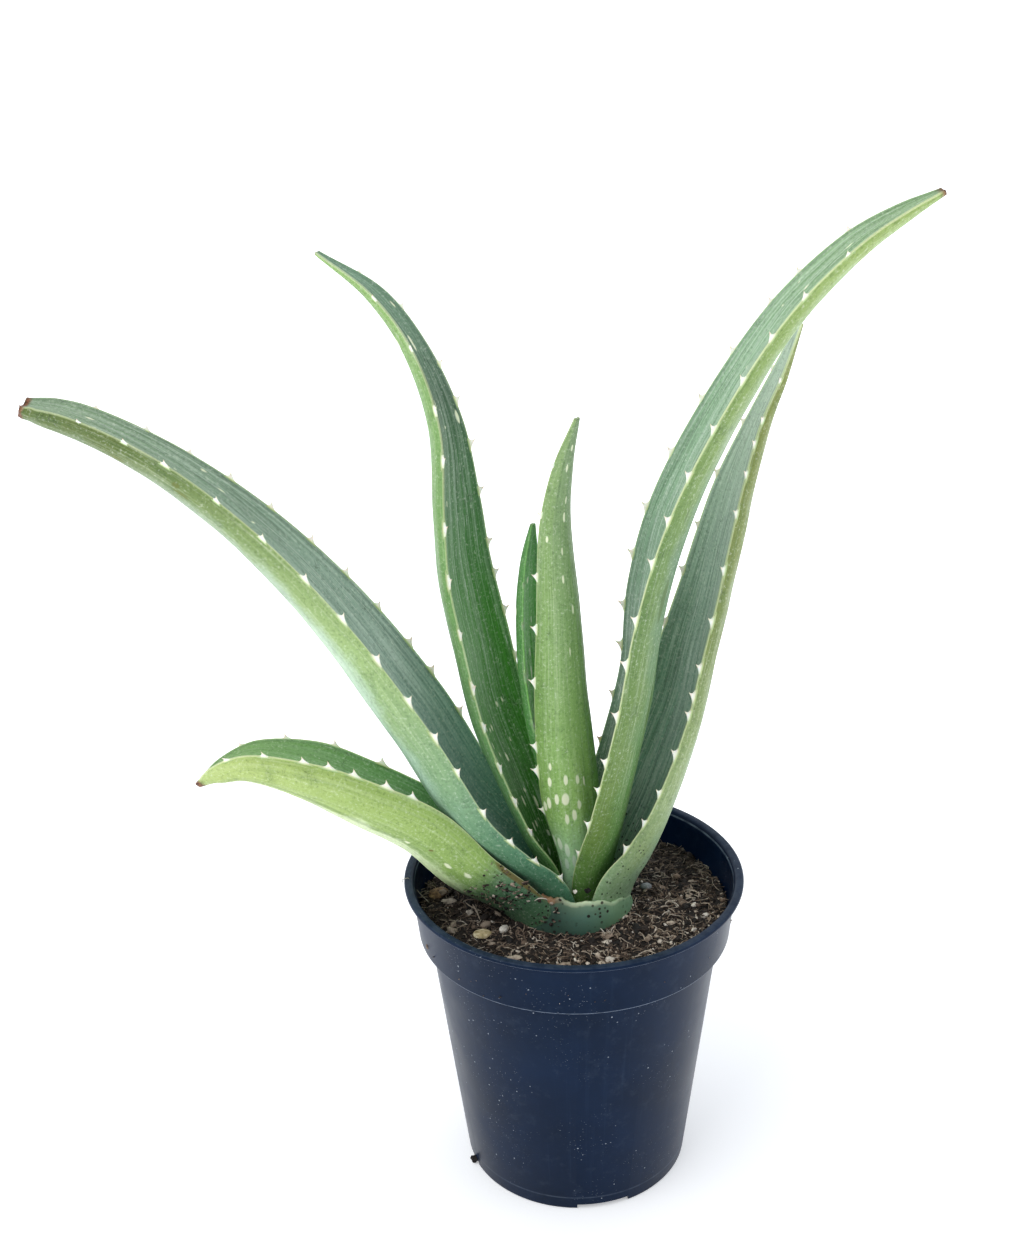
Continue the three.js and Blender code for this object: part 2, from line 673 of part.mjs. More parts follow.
// The lowest leaf's foot closes round the whole plant as a short collar with a wavy top. It
// dips where the blade leaves it and falls away towards the far side.
function sheath(leaf, grow) {
  const { radius, thickness, reach, top, fall, dip } = leaf.sheath;
  const turns = 31;
  const places = [];
  const corners = [];
  const quad = (a, b, c, d) => corners.push(a, b, c, a, c, d);
  for (let k = 0; k <= turns; k += 1) {
    const away = (k / turns) * 2 - 1;
    const angle = THREE.MathUtils.degToRad(leaf.heading + away * reach);
    const ragged = 0.5 * Math.sin(9 * angle) + 0.3 * Math.sin(17 * angle + 1);
    const fallen = fall * Math.max(0, (Math.abs(away) - 0.3) / 0.7) ** 2;
    const topZ = top - fallen - dip * Math.exp(-((away / 0.15) ** 2)) + ragged + grow;
    const rim = [
      [radius - grow, LEAF_ROOT_Z],
      [radius + thickness + grow, LEAF_ROOT_Z],
      [radius + thickness * 0.8 + grow, topZ - 1],
      [radius + 0.2 * thickness - grow, topZ],
    ];
    for (const [r, z] of rim) places.push(r * Math.cos(angle), r * Math.sin(angle), z);
  }
  for (let k = 0; k < turns; k += 1) {
    for (let i = 0; i < 4; i += 1) {
      const next = (i + 1) % 4;
      quad(4 * k + i, 4 * k + 4 + i, 4 * k + 4 + next, 4 * k + next);
    }
  }
  quad(0, 1, 2, 3);
  quad(4 * turns + 3, 4 * turns + 2, 4 * turns + 1, 4 * turns);
  const geometry = new THREE.BufferGeometry();
  geometry.setAttribute('position', new THREE.Float32BufferAttribute(places, 3));
  geometry.setIndex(corners);
  return solidFrom(geometry);
}

// What lies lower than the leaves' feet, which end level on top of the stem.
function underFeet(grow) {
  const slab = new THREE.BoxGeometry(4 * STEM_RADIUS, 4 * STEM_RADIUS, STEM_RADIUS);
  slab.translate(0, 0, LEAF_FOOT_Z - grow - STEM_RADIUS / 2);
  return solidFrom(slab);
}

function wholeLeaf(leaf, grow) {
  const plan = leafPlan(leaf);
  let whole = solidFrom(leafBlade(leaf, plan, grow));
  if (leaf.sheath) whole = whole.add(sheath(leaf, grow));
  return whole.subtract(underFeet(grow));
}

// Leaves are made from the inside out; each is cut clear of all the ones inside it.
function leaves(swollen) {
  return LEAVES.map((leaf, i) => {
    let body = wholeLeaf(leaf, 0);
    for (const inner of swollen.slice(0, i)) body = body.subtract(inner);
    return named(leaf.name, geometryFrom(largestOf(body)), leafSkin);
  });
}

// ---------------------------------------------------------------- the whole object

// What presses into the soil, swollen by the gap: it leaves its own hollow there.
const swollenLeaves = LEAVES.map((leaf) => wholeLeaf(leaf, GAP));
const lowestLeaf = swollenLeaves[LEAVES.length - 1];
const bed = [lowestLeaf, ...BITS.map((each) => bit(each, GAP))]
  .reduce((body, pressed) => body.subtract(pressed), soil());

const aloe = new THREE.Group();
aloe.add(named('pot', geometryFrom(pot()), potPlastic));
aloe.add(named('soil', geometryFrom(largestOf(bed)), peat));
aloe.add(named('stem', geometryFrom(stem()), stemSkin));
aloe.add(...leaves(swollenLeaves));
for (const each of BITS) {
  aloe.add(named(each.name, geometryFrom(bit(each, 0)), finish(each.colour, 0.9)));
}

export default aloe;
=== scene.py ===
"""A potted aloe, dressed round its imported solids.

Everything is in metres, in the frame of the solids: the origin is the middle of the pot's
foot, +X is to the right of the front view, +Y is to the back and +Z is up. The tables of
the leaves are in millimetres, as in the part's own source, and are turned to metres once.
"""

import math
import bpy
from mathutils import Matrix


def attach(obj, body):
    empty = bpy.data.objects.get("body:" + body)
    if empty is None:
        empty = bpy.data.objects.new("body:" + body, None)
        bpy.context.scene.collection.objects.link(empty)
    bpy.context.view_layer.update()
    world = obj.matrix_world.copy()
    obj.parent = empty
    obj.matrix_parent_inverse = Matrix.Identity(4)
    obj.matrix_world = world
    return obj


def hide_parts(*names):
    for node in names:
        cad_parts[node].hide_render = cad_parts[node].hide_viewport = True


bl_info = {
    "name": "Potted Aloe",
    "version": (1, 0, 0),
    "blender": (4, 5, 0),
    "location": "View3D > Sidebar > Aloe",
    "description": "Builds a potted aloe: leaves, teeth, pot, soil and a plain studio",
    "category": "Add Mesh",
}

import bmesh
import bpy
import numpy as np
from mathutils import Matrix, Vector, noise

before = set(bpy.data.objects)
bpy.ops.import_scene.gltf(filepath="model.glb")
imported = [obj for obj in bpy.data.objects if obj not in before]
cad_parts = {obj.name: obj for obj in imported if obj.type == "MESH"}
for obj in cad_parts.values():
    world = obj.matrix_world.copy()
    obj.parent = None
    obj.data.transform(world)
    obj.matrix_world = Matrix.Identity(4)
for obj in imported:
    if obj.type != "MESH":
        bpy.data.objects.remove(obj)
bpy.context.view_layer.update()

MM = 0.001
BODY = "root"

# ---------------------------------------------------------------- the pot's and soil's sizes, mm

POT_HEIGHT = 116.0
RIM_RADIUS = 60.0
POT_WALL = 1.2
LIP_DROP = 1.6
COLLAR_TOP_RADIUS = 57.4
COLLAR_FOOT_RADIUS = 55.5
COLLAR_FOOT_Z = 95.0
COLLAR_STEP = 2.2
BODY_TOP_RADIUS = 51.6
FOOT_RADIUS = 40.7
FLOOR_RISE = 2.0
PAD_RADIUS = 14.0
DRAIN_HOLES = 8
DRAIN_RADIUS = 3.2
DRAIN_CIRCLE = 27.0
DRAIN_SIDES = 40
NOTCHES = 4
NOTCH_WIDTH = 19.0
NOTCH_HEIGHT = 2.0
NOTCH_FIRST_ANGLE = -78.5
CUT_DEPTH = 8.0          # how far a drain hole or a notch is cut
POT_SHARP = 40           # degrees from which an edge of the pot stays sharp
# Edges of the pot with a painted highlight line, partly rubbed wear: height and how strongly they
# show.
EDGE_HIGHLIGHTS_AND_WEAR = [
    (POT_HEIGHT, 0.1), (POT_HEIGHT - LIP_DROP, 0.5), (COLLAR_FOOT_Z + 0.2, 0.6),
    (COLLAR_FOOT_Z - COLLAR_STEP, 0.5), (5.4, 0.12),
]
# Dusty scuffs on the collar: place and reach.
SCUFFS = [((-0.5, -56.2, 102.3), 9.0), ((-41.1, -39.0, 107.2), 8.0), ((-4.4, -56.0, 102.3), 6.0)]

SOIL_Z = 103.4
SOIL_MOUND = 0.8
SOIL_MOUND_REACH = 14
SOIL_RELIEF = 1.1
SOIL_WAVES = 7
SOIL_SEED = 11
SOIL_OUTER = 54.2
SOIL_INNER = 15.0
SOIL_SUNK = 0.5          # how far the peat's lumps start under the solid's top
SOIL_LUMPS = 0.9         # height of the lumps, and of the grit on them
SOIL_GRIT = 0.25
SOIL_FIT = 0.4           # between the peat and the pot
SOIL_RINGS = 78
SOIL_SEGMENTS = 256
STEM_TOP_RADIUS = 21.4

# ---------------------------------------------------------------- the leaves, mm and degrees

LEAF_ROOT_Z = 95.0
LEAF_FOOT_Z = 97.0
EDGE_THICKNESS = 0.9
BULGE_POWER = 2.2
BULGE_ROUND = 0.7

ACROSS = 40           # spans across each face of a leaf
RIM_ROUND = 3         # points between the two faces, round the margin
STATION_STEP = 1.2    # from one section to the next
END_SHORT = 0.2       # that a skin stops short of its solid's tip
RIDGES = 0.28         # relief of the lengthwise ridges
DENTS = 0.35          # relief of the uneven skin
RELIEF_MOST = 0.25    # and its limit, on thin parts a share of the thickness
RELIEF_SHARE = 0.12
WITHERED_IN = 0.22    # how far a withered tip draws in, share of its half width
CRUMPLES = 0.35       # crumples of a withered tip to a millimetre

TOOTH_HEIGHT = 2.7
TOOTH_SPREAD = 9.5    # length of a tooth's foot, whose hollow flanks run out into the margin
TOOTH_THICKNESS = 1.5
TOOTH_SUNK = 0.3
TOOTH_LEAN = 0.16
TOOTH_END_SIZE = 0.62
TOOTH_MID_GAIN = 0.46
TOOTH_PLAY = 0.1
TOOTH_NEAR = 0.004    # share of the leaf over which a tooth's direction is taken

SHEATH_TURNS = 260    # steps round the lowest leaf's foot, and steps up each of its faces
SHEATH_RISES = 26

# Pale spots on the middle leaf: which face, share across, distance along and half sizes.
CENTRE_SPOTS = [
    (1, -0.76, 67.8, 0.4, 1.6), (1, -0.79, 62.1, 0.53, 2.0), (1, -0.49, 62.1, 0.59, 2.2),
    (1, -0.26, 61.1, 0.46, 2.2), (1, -0.12, 59.7, 0.4, 2.0), (1, -0.94, 52.5, 0.59, 2.1),
    (1, -0.84, 54.0, 0.59, 2.5), (1, -0.68, 55.4, 0.59, 2.3), (1, -0.52, 55.0, 0.99, 2.6),
    (1, -0.27, 51.7, 0.53, 2.1), (1, -0.53, 47.2, 0.53, 2.3), (1, -0.38, 48.2, 0.59, 2.5),
    (1, -0.93, 38.4, 0.59, 2.7), (1, -0.78, 37.4, 0.66, 2.9), (1, -0.63, 34.8, 0.66, 3.2),
    (1, -0.93, 28.6, 0.59, 2.7), (1, -0.70, 29.0, 0.59, 2.6), (1, -0.50, 30.2, 0.53, 2.9),
    (1, -0.11, 154.5, 0.4, 2.0), (1, -0.25, 142.7, 0.33, 1.6), (1, -0.29, 133.2, 0.33, 1.8),
    (1, -0.26, 172.0, 0.33, 1.6), (1, -0.16, 179.1, 0.33, 1.3), (1, -0.79, 147.4, 0.33, 1.2),
    (1, -0.05, 160.5, 0.4, 1.6), (1, -0.02, 122.0, 0.33, 2.1), (1, -0.20, 108.0, 0.2, 1.6),
]

# What a leaf has unless its own record says otherwise.
PLAIN_LEAF = {
    "fine": 1,                     # how much finer its mesh is
    "pale": [],                    # pale spots given one by one, as in CENTRE_SPOTS
    "spots": [],                   # seeded spots: face, from, to, how many, least, largest
    "scars": [],                   # placed as the pale spots are
    "scar": "#6a5620",
    "streaks": 1.0,                # strength of the upper face's stripes
    "horn": 1.0,                   # how much of its teeth is cream
    "tooth_turn": 0,               # degrees that the teeth turn in over the upper face
    "foot_reach": (0.17, 0.05),    # where the foot's colour fades in, share of the length
    "split": (0.4, 0.85),          # where the underside's margin colour starts, across it
    "crease_shade": None,                # painted shade along a fold of the underside, share across
    "dirt": 0.3,
    "dry": (1.0, 1.02),            # where the dried tip starts and ends, share of the length
    "withers": 0,                  # length of the tip that is drawn in and crumpled
    "sheath": None,
}

# rows, from foot to tip: distance out from the stem's axis, height, width, thickness, curl
# and roll. teeth: how far along the leaf they stand, on its right and its left margin.
# upper: the upper face's colours from foot to tip. under: the underside's, each at its
# middle and its margin. foot: what both faces turn to at the foot. line: how strongly the
# pale line along the margin shows.
LEAVES = [{**PLAIN_LEAF, **leaf} for leaf in (
    {
        "name": "leaf_heart_small", "heading": 150, "seed": 21,
        "teeth": ((46, 60, 76, 94, 112, 128), (49, 63, 80, 98, 116, 130)),
        "rows": [
            (2.6, LEAF_ROOT_Z, 8.6, 1.6, 95, 0), (3.2, 122, 11, 2.2, 90, 0),
            (7.6, 150, 16, 3.6, 60, 0), (13.2, 180, 17, 4.2, 28, 0), (15.4, 208, 14, 4.2, 22, 0),
            (14.8, 230, 9, 3.2, 18, 0), (13.2, 244, 1.6, 1.2, 15, 0),
        ],
        "upper": ("#66b838", "#7ad452", "#6cb45e"),
        "under": (("#5a9a4a", "#4f8c42"), ("#5c9850", "#558e4a")),
        "foot": "#2c6a30", "line": 0.1, "horn": 0.2, "streaks": 0.35,
        "spots": [("both", 0.35, 0.9, 26, 0.5, 1.1)],
    },
    {
        "name": "leaf_centre", "heading": -40, "seed": 22,
        "teeth": ((50, 65, 74, 97, 116, 134, 155, 172), (42, 55, 71, 88, 109, 128, 148, 168)),
        "rows": [
            (4.8, LEAF_ROOT_Z, 15.9, 1.9, 95, 0), (5.6, 122, 18.5, 3.5, 95, 0),
            (1, 150, 25.5, 6.5, 58, 0), (-3.5, 180, 22.5, 7.5, 42, 0), (-5, 212, 18, 6.5, 34, 0),
            (-6, 246, 12.5, 4.5, 28, 0), (-2.5, 266, 8, 3, 22, 0), (3, 282, 1.6, 1.2, 15, 0),
        ],
        "upper": ("#3d7a36", "#4d8448", "#6f9a72"),
        "under": (("#90ba61", "#80a852"), ("#829a72", "#84a068")),
        "foot": "#c8f8cc", "foot_reach": (0.28, 0.1), "line": 0.4, "fine": 1.6,
        "pale": CENTRE_SPOTS,
    },
    {
        "name": "leaf_left_upright", "heading": 152, "seed": 23,
        "teeth": (
            (29, 41, 53, 67, 82, 97, 114, 128, 140, 159, 176, 191, 204, 226, 244),
            (41, 53, 66, 82, 97, 116, 135, 153, 175, 191, 212, 232),
        ),
        "rows": [
            (7.3, LEAF_ROOT_Z, 24.2, 2.1, 95, 0), (8.6, 116, 28, 2.6, 86, 0),
            (14.5, 132, 33, 3.4, 54, 0), (22.5, 151, 34, 4.2, 44, 0), (31.5, 173.5, 33, 5, 42, 0),
            (36.7, 199, 32, 5.5, 36, 0), (41.5, 223.5, 30, 5.8, 33, 0), (42.6, 246.5, 25, 6, 29, 0),
            (44.2, 274.5, 15, 6, 26, 0), (54, 299, 9.5, 5, 22, 0), (69, 316, 8, 3.6, 20, 0),
            (91, 328, 1.8, 1.4, 15, 0),
        ],
        "upper": ("#36801a", "#458e2c", "#44684a", "#76a080"),
        "under": (("#7fb383", "#76a668"), ("#84ac70", "#8fb268")),
        "foot": "#4d8a35", "line": 0.45, "tooth_turn": 25, "streaks": 0.8,
        "spots": [("upper", 0.10, 0.34, 40, 0.45, 1.0), ("both", 0.6, 0.95, 12, 0.5, 1.2)],
    },
    {
        "name": "leaf_right_long", "heading": 2, "seed": 24,
        "teeth": (
            (34, 47, 61, 72, 90, 109, 124, 143, 157, 172, 188, 205, 220, 235, 252),
            (34, 48, 62, 80, 99, 114, 133, 150, 170, 190, 208, 227, 239, 258),
        ),
        "rows": [
            (10, LEAF_ROOT_Z, 33.2, 2.3, 95, 0), (10.8, 118, 36, 3, 92, 0),
            (14.5, 142, 40, 4.5, 54, -5), (21.5, 182, 42, 5.5, 34, -7), (26, 216, 42, 5.6, 34, -3),
            (33.5, 247, 36, 5.6, 34, 0), (49.5, 282, 31, 5, 32, 0), (69, 313, 25.5, 4.6, 28, 0),
            (89, 333, 20.5, 4, 25, 0), (103, 342.3, 13, 3, 22, 0), (114, 348, 4, 1.8, 18, 0),
        ],
        "upper": ("#4a7453", "#68916f", "#92b690", "#8bb27a"),
        "under": (("#5f8a44", "#6c8a42"), ("#6a8a6a", "#6b8b4c"), ("#a6c088", "#90a85c")),
        "foot": "#5f8f45", "line": 0.75, "tooth_turn": 48, "dry": (0.996, 1.006),
        "spots": [("upper", 0.72, 0.95, 10, 0.4, 0.8)],
        "scars": [(1, -0.6, 130, 1.4, 9), (1, -0.3, 88, 1.2, 12), (1, -0.75, 160, 0.5, 3)],
        "scar": "#4c6a2c",
    },
    {
        "name": "leaf_left_long", "heading": 178, "seed": 25,
        "teeth": (
            (30, 44, 60, 80, 98, 111, 128, 144, 160, 177, 193, 208, 223, 240),
            (21, 31, 42, 59, 77, 91, 106, 123, 140, 157, 175, 193, 212, 226, 241),
        ),
        "rows": [
            (12.9, LEAF_ROOT_Z, 42.8, 2.4, 95, 0), (15, 112, 46, 3, 88, 0),
            (24, 125, 47, 4.5, 66, 0), (36, 140, 47, 6.5, 57, 0), (54.5, 175, 46, 7.8, 54, 0),
            (77.5, 213, 38, 7.5, 50, 0), (102.5, 244.7, 28.5, 7.2, 44, 0),
            (130, 269.2, 20.5, 7, 38, 0), (157, 284.4, 17, 6.3, 30, 0), (173, 289, 13, 5, 22, 0),
        ],
        "upper": ("#a1c1b4", "#a3baae", "#8aa68c", "#84a27c"),
        "under": (("#c4e2cc", "#9cbc8c"), ("#bfd8bd", "#9ab674"), ("#6c8054", "#5e7034")),
        "foot": "#3f7f62", "foot_reach": (0.48, 0.06), "line": 0.45, "tooth_turn": 18,
        "spots": [("upper", 0.5, 0.92, 16, 0.35, 0.6)],
        "scars": [(1, 0.76, 203, 0.5, 3.5), (1, 0.86, 206, 0.7, 1.6), (1, 0.6, 226, 0.7, 3)],
        "scar": "#66712c", "dry": (0.994, 1.001), "withers": 9,
    },
    {
        "name": "leaf_right_back", "heading": 22, "seed": 26,
        "teeth": (
            (32, 43, 55, 70, 85, 92, 102, 118, 136, 155, 168, 178, 186, 200),
            (32, 45, 58, 73, 90, 108, 128, 145, 164, 183, 203),
        ),
        "rows": [
            (15.9, LEAF_ROOT_Z, 52.7, 2.4, 95, 0), (17.5, 112, 54, 4.5, 92, 0),
            (23, 124, 48, 6, 74, 0), (30.5, 140, 43, 6.2, 58, 0), (42, 171, 36, 5.6, 48, 0),
            (47, 193.5, 31, 5.8, 42, 0), (51.6, 212, 27, 6, 38, 0), (56, 232, 22.5, 6.4, 34, 0),
            (60.6, 250.4, 17.5, 6.2, 30, 0), (67.6, 270.6, 9.5, 5.4, 24, 0),
            (76, 287, 6.5, 3.5, 20, 0), (83.5, 303, 2, 1.3, 15, 0),
        ],
        "upper": ("#72a883", "#769c82", "#c4dac6"),
        "under": (("#a4c29e", "#98b078"), ("#8a9c70", "#788a4a"), ("#929f6e", "#828d48")),
        "foot": "#8fb58a", "line": 0.7, "tooth_turn": 40, "dirt": 0.8,
        "scars": [(1, -0.6, 112, 0.5, 0.7), (1, -0.5, 86, 0.5, 1.6)],
    },
    {
        "name": "leaf_low_left", "heading": 182, "seed": 27,
        "sheath": {
            "radius": 19.2, "thickness": 2.4, "reach": 168, "top": 116.8, "fall": 8, "dip": 4,
        },
        "teeth": ((26, 39, 56, 74, 92, 109, 124), (67, 76, 87, 95, 103, 115, 126)),
        "rows": [
            (19, LEAF_ROOT_Z, 50, 2.6, 75, 0), (23, 105, 53, 3.6, 78, 2),
            (40, 122, 48, 8.5, 70, 8), (53, 138.5, 40, 11, 58, 15), (69.8, 150.5, 38, 12, 48, 15),
            (89.5, 161, 34, 10.5, 42, 13), (110, 167, 21, 9, 30, 13),
            (122, 163.5, 10, 6.5, 24, 13), (128.8, 157.5, 3, 2, 18, 13),
        ],
        "upper": ("#4f8544", "#5f9650", "#7fa860"),
        # The underside's pale cream middle is partly its own colour and partly painted light
        # bounced up from the floor.
        "under": (("#c2d79e", "#8fb05c"), ("#e6efc6", "#b2c574")),
        "foot": "#42705a", "foot_reach": (0.29, 0.15), "line": 0.75, "tooth_turn": 30,
        "streaks": 0.35, "crease_shade": 0.47, "split": (0.36, 0.52), "dirt": 1.0,
        "pale": [(1, 0.59, 44.2, 0.8, 1.9), (1, 0.69, 37.4, 0.8, 2.0), (1, 0.5, 60, 0.4, 0.9)],
        "scars": [(1, 0.61, 52, 0.5, 0.5), (1, 0.73, 124.4, 0.5, 0.5), (1, 1.0, 23, 1.0, 11)],
        "dry": (0.982, 0.995),
    },
)]

# ---------------------------------------------------------------- things in the soil, mm

# Bits: place, size, turn in degrees, seed, slot and colours from dark to light.
BITS = [
    ("bark_chip", (-48.5, 5.5), (8.5, 5.5, 3.8), 25, 31, "bark",
     ("#3f2f24", "#8f7253", "#c4a884")),
    ("wood_disc", (-32.5, -19.5), (7, 6.2, 2.2), 10, 32, "bark",
     ("#6f6240", "#bfae84", "#ece4c8")),
    ("perlite_chip", (-25, -17.5), (4.6, 3.4, 3), 60, 33, "grit",
     ("#9d968b", "#e2ddd4", "#f4f1ea")),
    ("pebble", (26.5, 6), (4.6, 3.8, 3.2), 0, 34, "grit",
     ("#4e5358", "#83888c", "#a9adae")),
]
BIT_SUNK = 0.3
BIT_ROUGHNESS = 0.3
BIT_FLAKES = 0.035

# Lumps laid one by one: place, half sizes and tone.
LUMPS = [
    ((-44.5, -0.4, 105.0), (2.6, 1.3, 0.7), 0.93), ((-38.4, -15.2, 1.7), (1.6, 1.2, 1.5), 0.05),
    ((-0.1, -16.4, 117.6), (0.7, 0.7, 0.7), 1.0), ((4.3, -15.6, 117.4), (1.1, 0.9, 0.8), 0.0),
    ((-47.0, 4.6, 105.6), (1.7, 1.3, 1.0), 0.8), ((-37.0, -8.5, 105.2), (1.3, 1.0, 0.8), 0.95),
    ((-21.5, -36.5, 105.0), (2.4, 1.2, 0.6), 0.85), ((33.0, -18.0, 105.0), (1.5, 0.9, 0.6), 0.85),
    ((38.0, 12.0, 105.2), (1.3, 1.1, 0.8), 0.7), ((10.5, -24.2, 104.6), (2.0, 1.3, 0.9), 0.75),
]
# Strands laid one by one: radius, tone and the points of their path.
STRANDS = [
    (0.17, 1.0, [(-60.3, -4.4, 115.4), (-60.5, -4.0, 116.4), (-58.6, -3.0, 116.5),
                 (-57.2, -1.2, 113.0), (-54.9, 0.2, 108.2), (-51.7, -1.8, 105.6)]),
    (0.30, 0.9, [(-36.0, -5.3, 106.4), (-34.6, -8.6, 105.9), (-33.4, -12.6, 104.9)]),
    (0.22, 0.85, [(-38.6, -2.6, 105.6), (-36.6, -5.6, 105.8), (-33.0, -8.2, 105.6)]),
    (0.20, 0.95, [(-14.2, -20.6, 117.0), (-12.6, -21.6, 118.6), (-10.4, -21.4, 118.2),
                  (-9.6, -20.4, 116.8)]),
    (0.22, 0.9, [(20.0, -37.0, 105.2), (23.0, -36.0, 106.0), (26.5, -36.8, 105.2)]),
    (0.20, 0.8, [(-12.0, -45.0, 105.0), (-8.0, -44.0, 105.8), (-4.0, -45.5, 105.0)]),
]
TUFT_AT = (10.6, -24.0, 104.2)
TUFT_STRANDS = 11
TUFT_SEED = 77


# ---------------------------------------------------------------- small helpers

def paint(code):
    """A colour written as #rrggbb, as light values with full alpha."""
    channels = [int(code[i:i + 2], 16) / 255 for i in (1, 3, 5)]
    linear = [c / 12.92 if c <= 0.04045 else ((c + 0.055) / 1.055) ** 2.4 for c in channels]
    return (*linear, 1.0)


def draws_from(seed):
    """A repeatable generator of numbers from 0 to 1, the same as in the part's source."""
    state = (seed * 2654435761) % 4294967296

    def draw():
        nonlocal state
        state = (state * 1664525 + 1013904223) % 4294967296
        return state / 4294967296

    return draw


def smoothstep(low, high, value):
    part = np.clip((np.asarray(value, float) - low) / (high - low), 0, 1)
    return part * part * (3 - 2 * part)


def placed(name, data):
    """A new object in the scene, at the origin."""
    piece = bpy.data.objects.new(name, data)
    bpy.context.scene.collection.objects.link(piece)
    return piece


def shade_smooth(mesh, smooth=True):
    mesh.polygons.foreach_set("use_smooth", [smooth] * len(mesh.polygons))


def mesh_object(name, points, faces, smooth=True):
    """A new object from points in millimetres."""
    mesh = bpy.data.meshes.new(name)
    mesh.from_pydata([tuple(p) for p in np.asarray(points) * MM], [], faces)
    mesh.validate()
    shade_smooth(mesh, smooth)
    mesh.update()
    return placed(name, mesh)


def store(mesh, name, values):
    """Keep one number or one vector to each point of a mesh under a name."""
    values = np.asarray(values, np.float32)
    kind, key = ("FLOAT", "value") if values.ndim == 1 else ("FLOAT_VECTOR", "vector")
    mesh.attributes.new(name, kind, "POINT").data.foreach_set(key, values.ravel())


def bare_mesh(name, points, edges=(), **values):
    """Points in millimetres to grow something on, each with its own stored values."""
    mesh = bpy.data.meshes.new(name)
    mesh.from_pydata([tuple(p) for p in np.asarray(points, float) * MM], list(edges), [])
    for key, rows in values.items():
        store(mesh, key, rows)
    return mesh


def tube_faces(rings, width, flip=False):
    """Faces between rings of points that follow one another, each ring closed."""
    faces = []
    for k in range(rings - 1):
        for i in range(width):
            j = (i + 1) % width
            low, high = k * width, (k + 1) * width
            ways = (high + i, high + j, low + j)
            faces.append((low + i, *(ways[::-1] if flip else ways)))
    return faces


def capped_faces(rings, width, flip=False):
    """A tube's faces, and fans to one last point at each of its ends."""
    faces = tube_faces(rings, width, flip)
    first, base = rings * width, (rings - 1) * width
    for i in range(width):
        a, b = i, (i + 1) % width
        if flip:
            a, b = b, a
        faces += [(first, a, b), (first + 1, base + b, base + a)]
    return faces


def settle(piece, slot, *nodes):
    """Give a finished piece its body and the nodes that it stands for. The slot is not used."""
    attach(piece, BODY)
    if nodes:
        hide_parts(*nodes)
    return piece


def dressed(piece, material):
    piece.data.materials.clear()
    piece.data.materials.append(material)
    return piece


def baked(piece):
    """Swap the piece's mesh for its evaluated one and take the modifiers off."""
    graph = bpy.context.evaluated_depsgraph_get()
    graph.update()
    mesh = bpy.data.meshes.new_from_object(piece.evaluated_get(graph))
    mesh.name = piece.name
    piece.modifiers.clear()
    piece.data = mesh
    return piece


# ---------------------------------------------------------------- node trees

def socket_named(sockets, key):
    if isinstance(key, int):
        return sockets[key]
    return next(s for s in sockets if s.name == key and s.enabled)


class Tree:
    """A node tree that is filled in one node at a time."""

    def __init__(self, tree):
        self.tree = tree

    def add(self, kind, sockets=None, **settings):
        node = self.tree.nodes.new(kind)
        for key, value in settings.items():
            setattr(node, key, value)
        for key, value in (sockets or {}).items():
            target = socket_named(node.inputs, key)
            if isinstance(value, bpy.types.NodeSocket):
                self.tree.links.new(value, target)
            else:
                target.default_value = value
        return node

    def out(self, kind, sockets=None, output=0, **settings):
        node = self.add(kind, sockets, **settings)
        return socket_named(node.outputs, output)

    def split(self, vector):
        return self.add("ShaderNodeSeparateXYZ", {0: vector}).outputs

    def join(self, x, y, z):
        return self.out("ShaderNodeCombineXYZ", {0: x, 1: y, 2: z})

    def stretched(self, vector, scale):
        return self.out("ShaderNodeVectorMath", {0: vector, "Scale": scale}, operation="SCALE")

    def maths(self, operation, a, b=0.0, clamp=False):
        return self.out("ShaderNodeMath", {0: a, 1: b}, operation=operation, use_clamp=clamp)

    def times(self, a, b, clamp=False):
        return self.maths("MULTIPLY", a, b, clamp)

    def plus(self, a, b):
        return self.maths("ADD", a, b)

    def power(self, a, b):
        return self.maths("POWER", a, b)

    def apart(self, a, b):
        """How far two values are from each other."""
        return self.maths("ABSOLUTE", self.maths("SUBTRACT", a, b))

    def span(self, value, low, high, out_low=0.0, out_high=1.0):
        """Map a value from one range to another, clamped, with soft ends."""
        return self.out("ShaderNodeMapRange", {
            "Value": value, "From Min": low, "From Max": high,
            "To Min": out_low, "To Max": out_high,
        }, interpolation_type="SMOOTHSTEP")


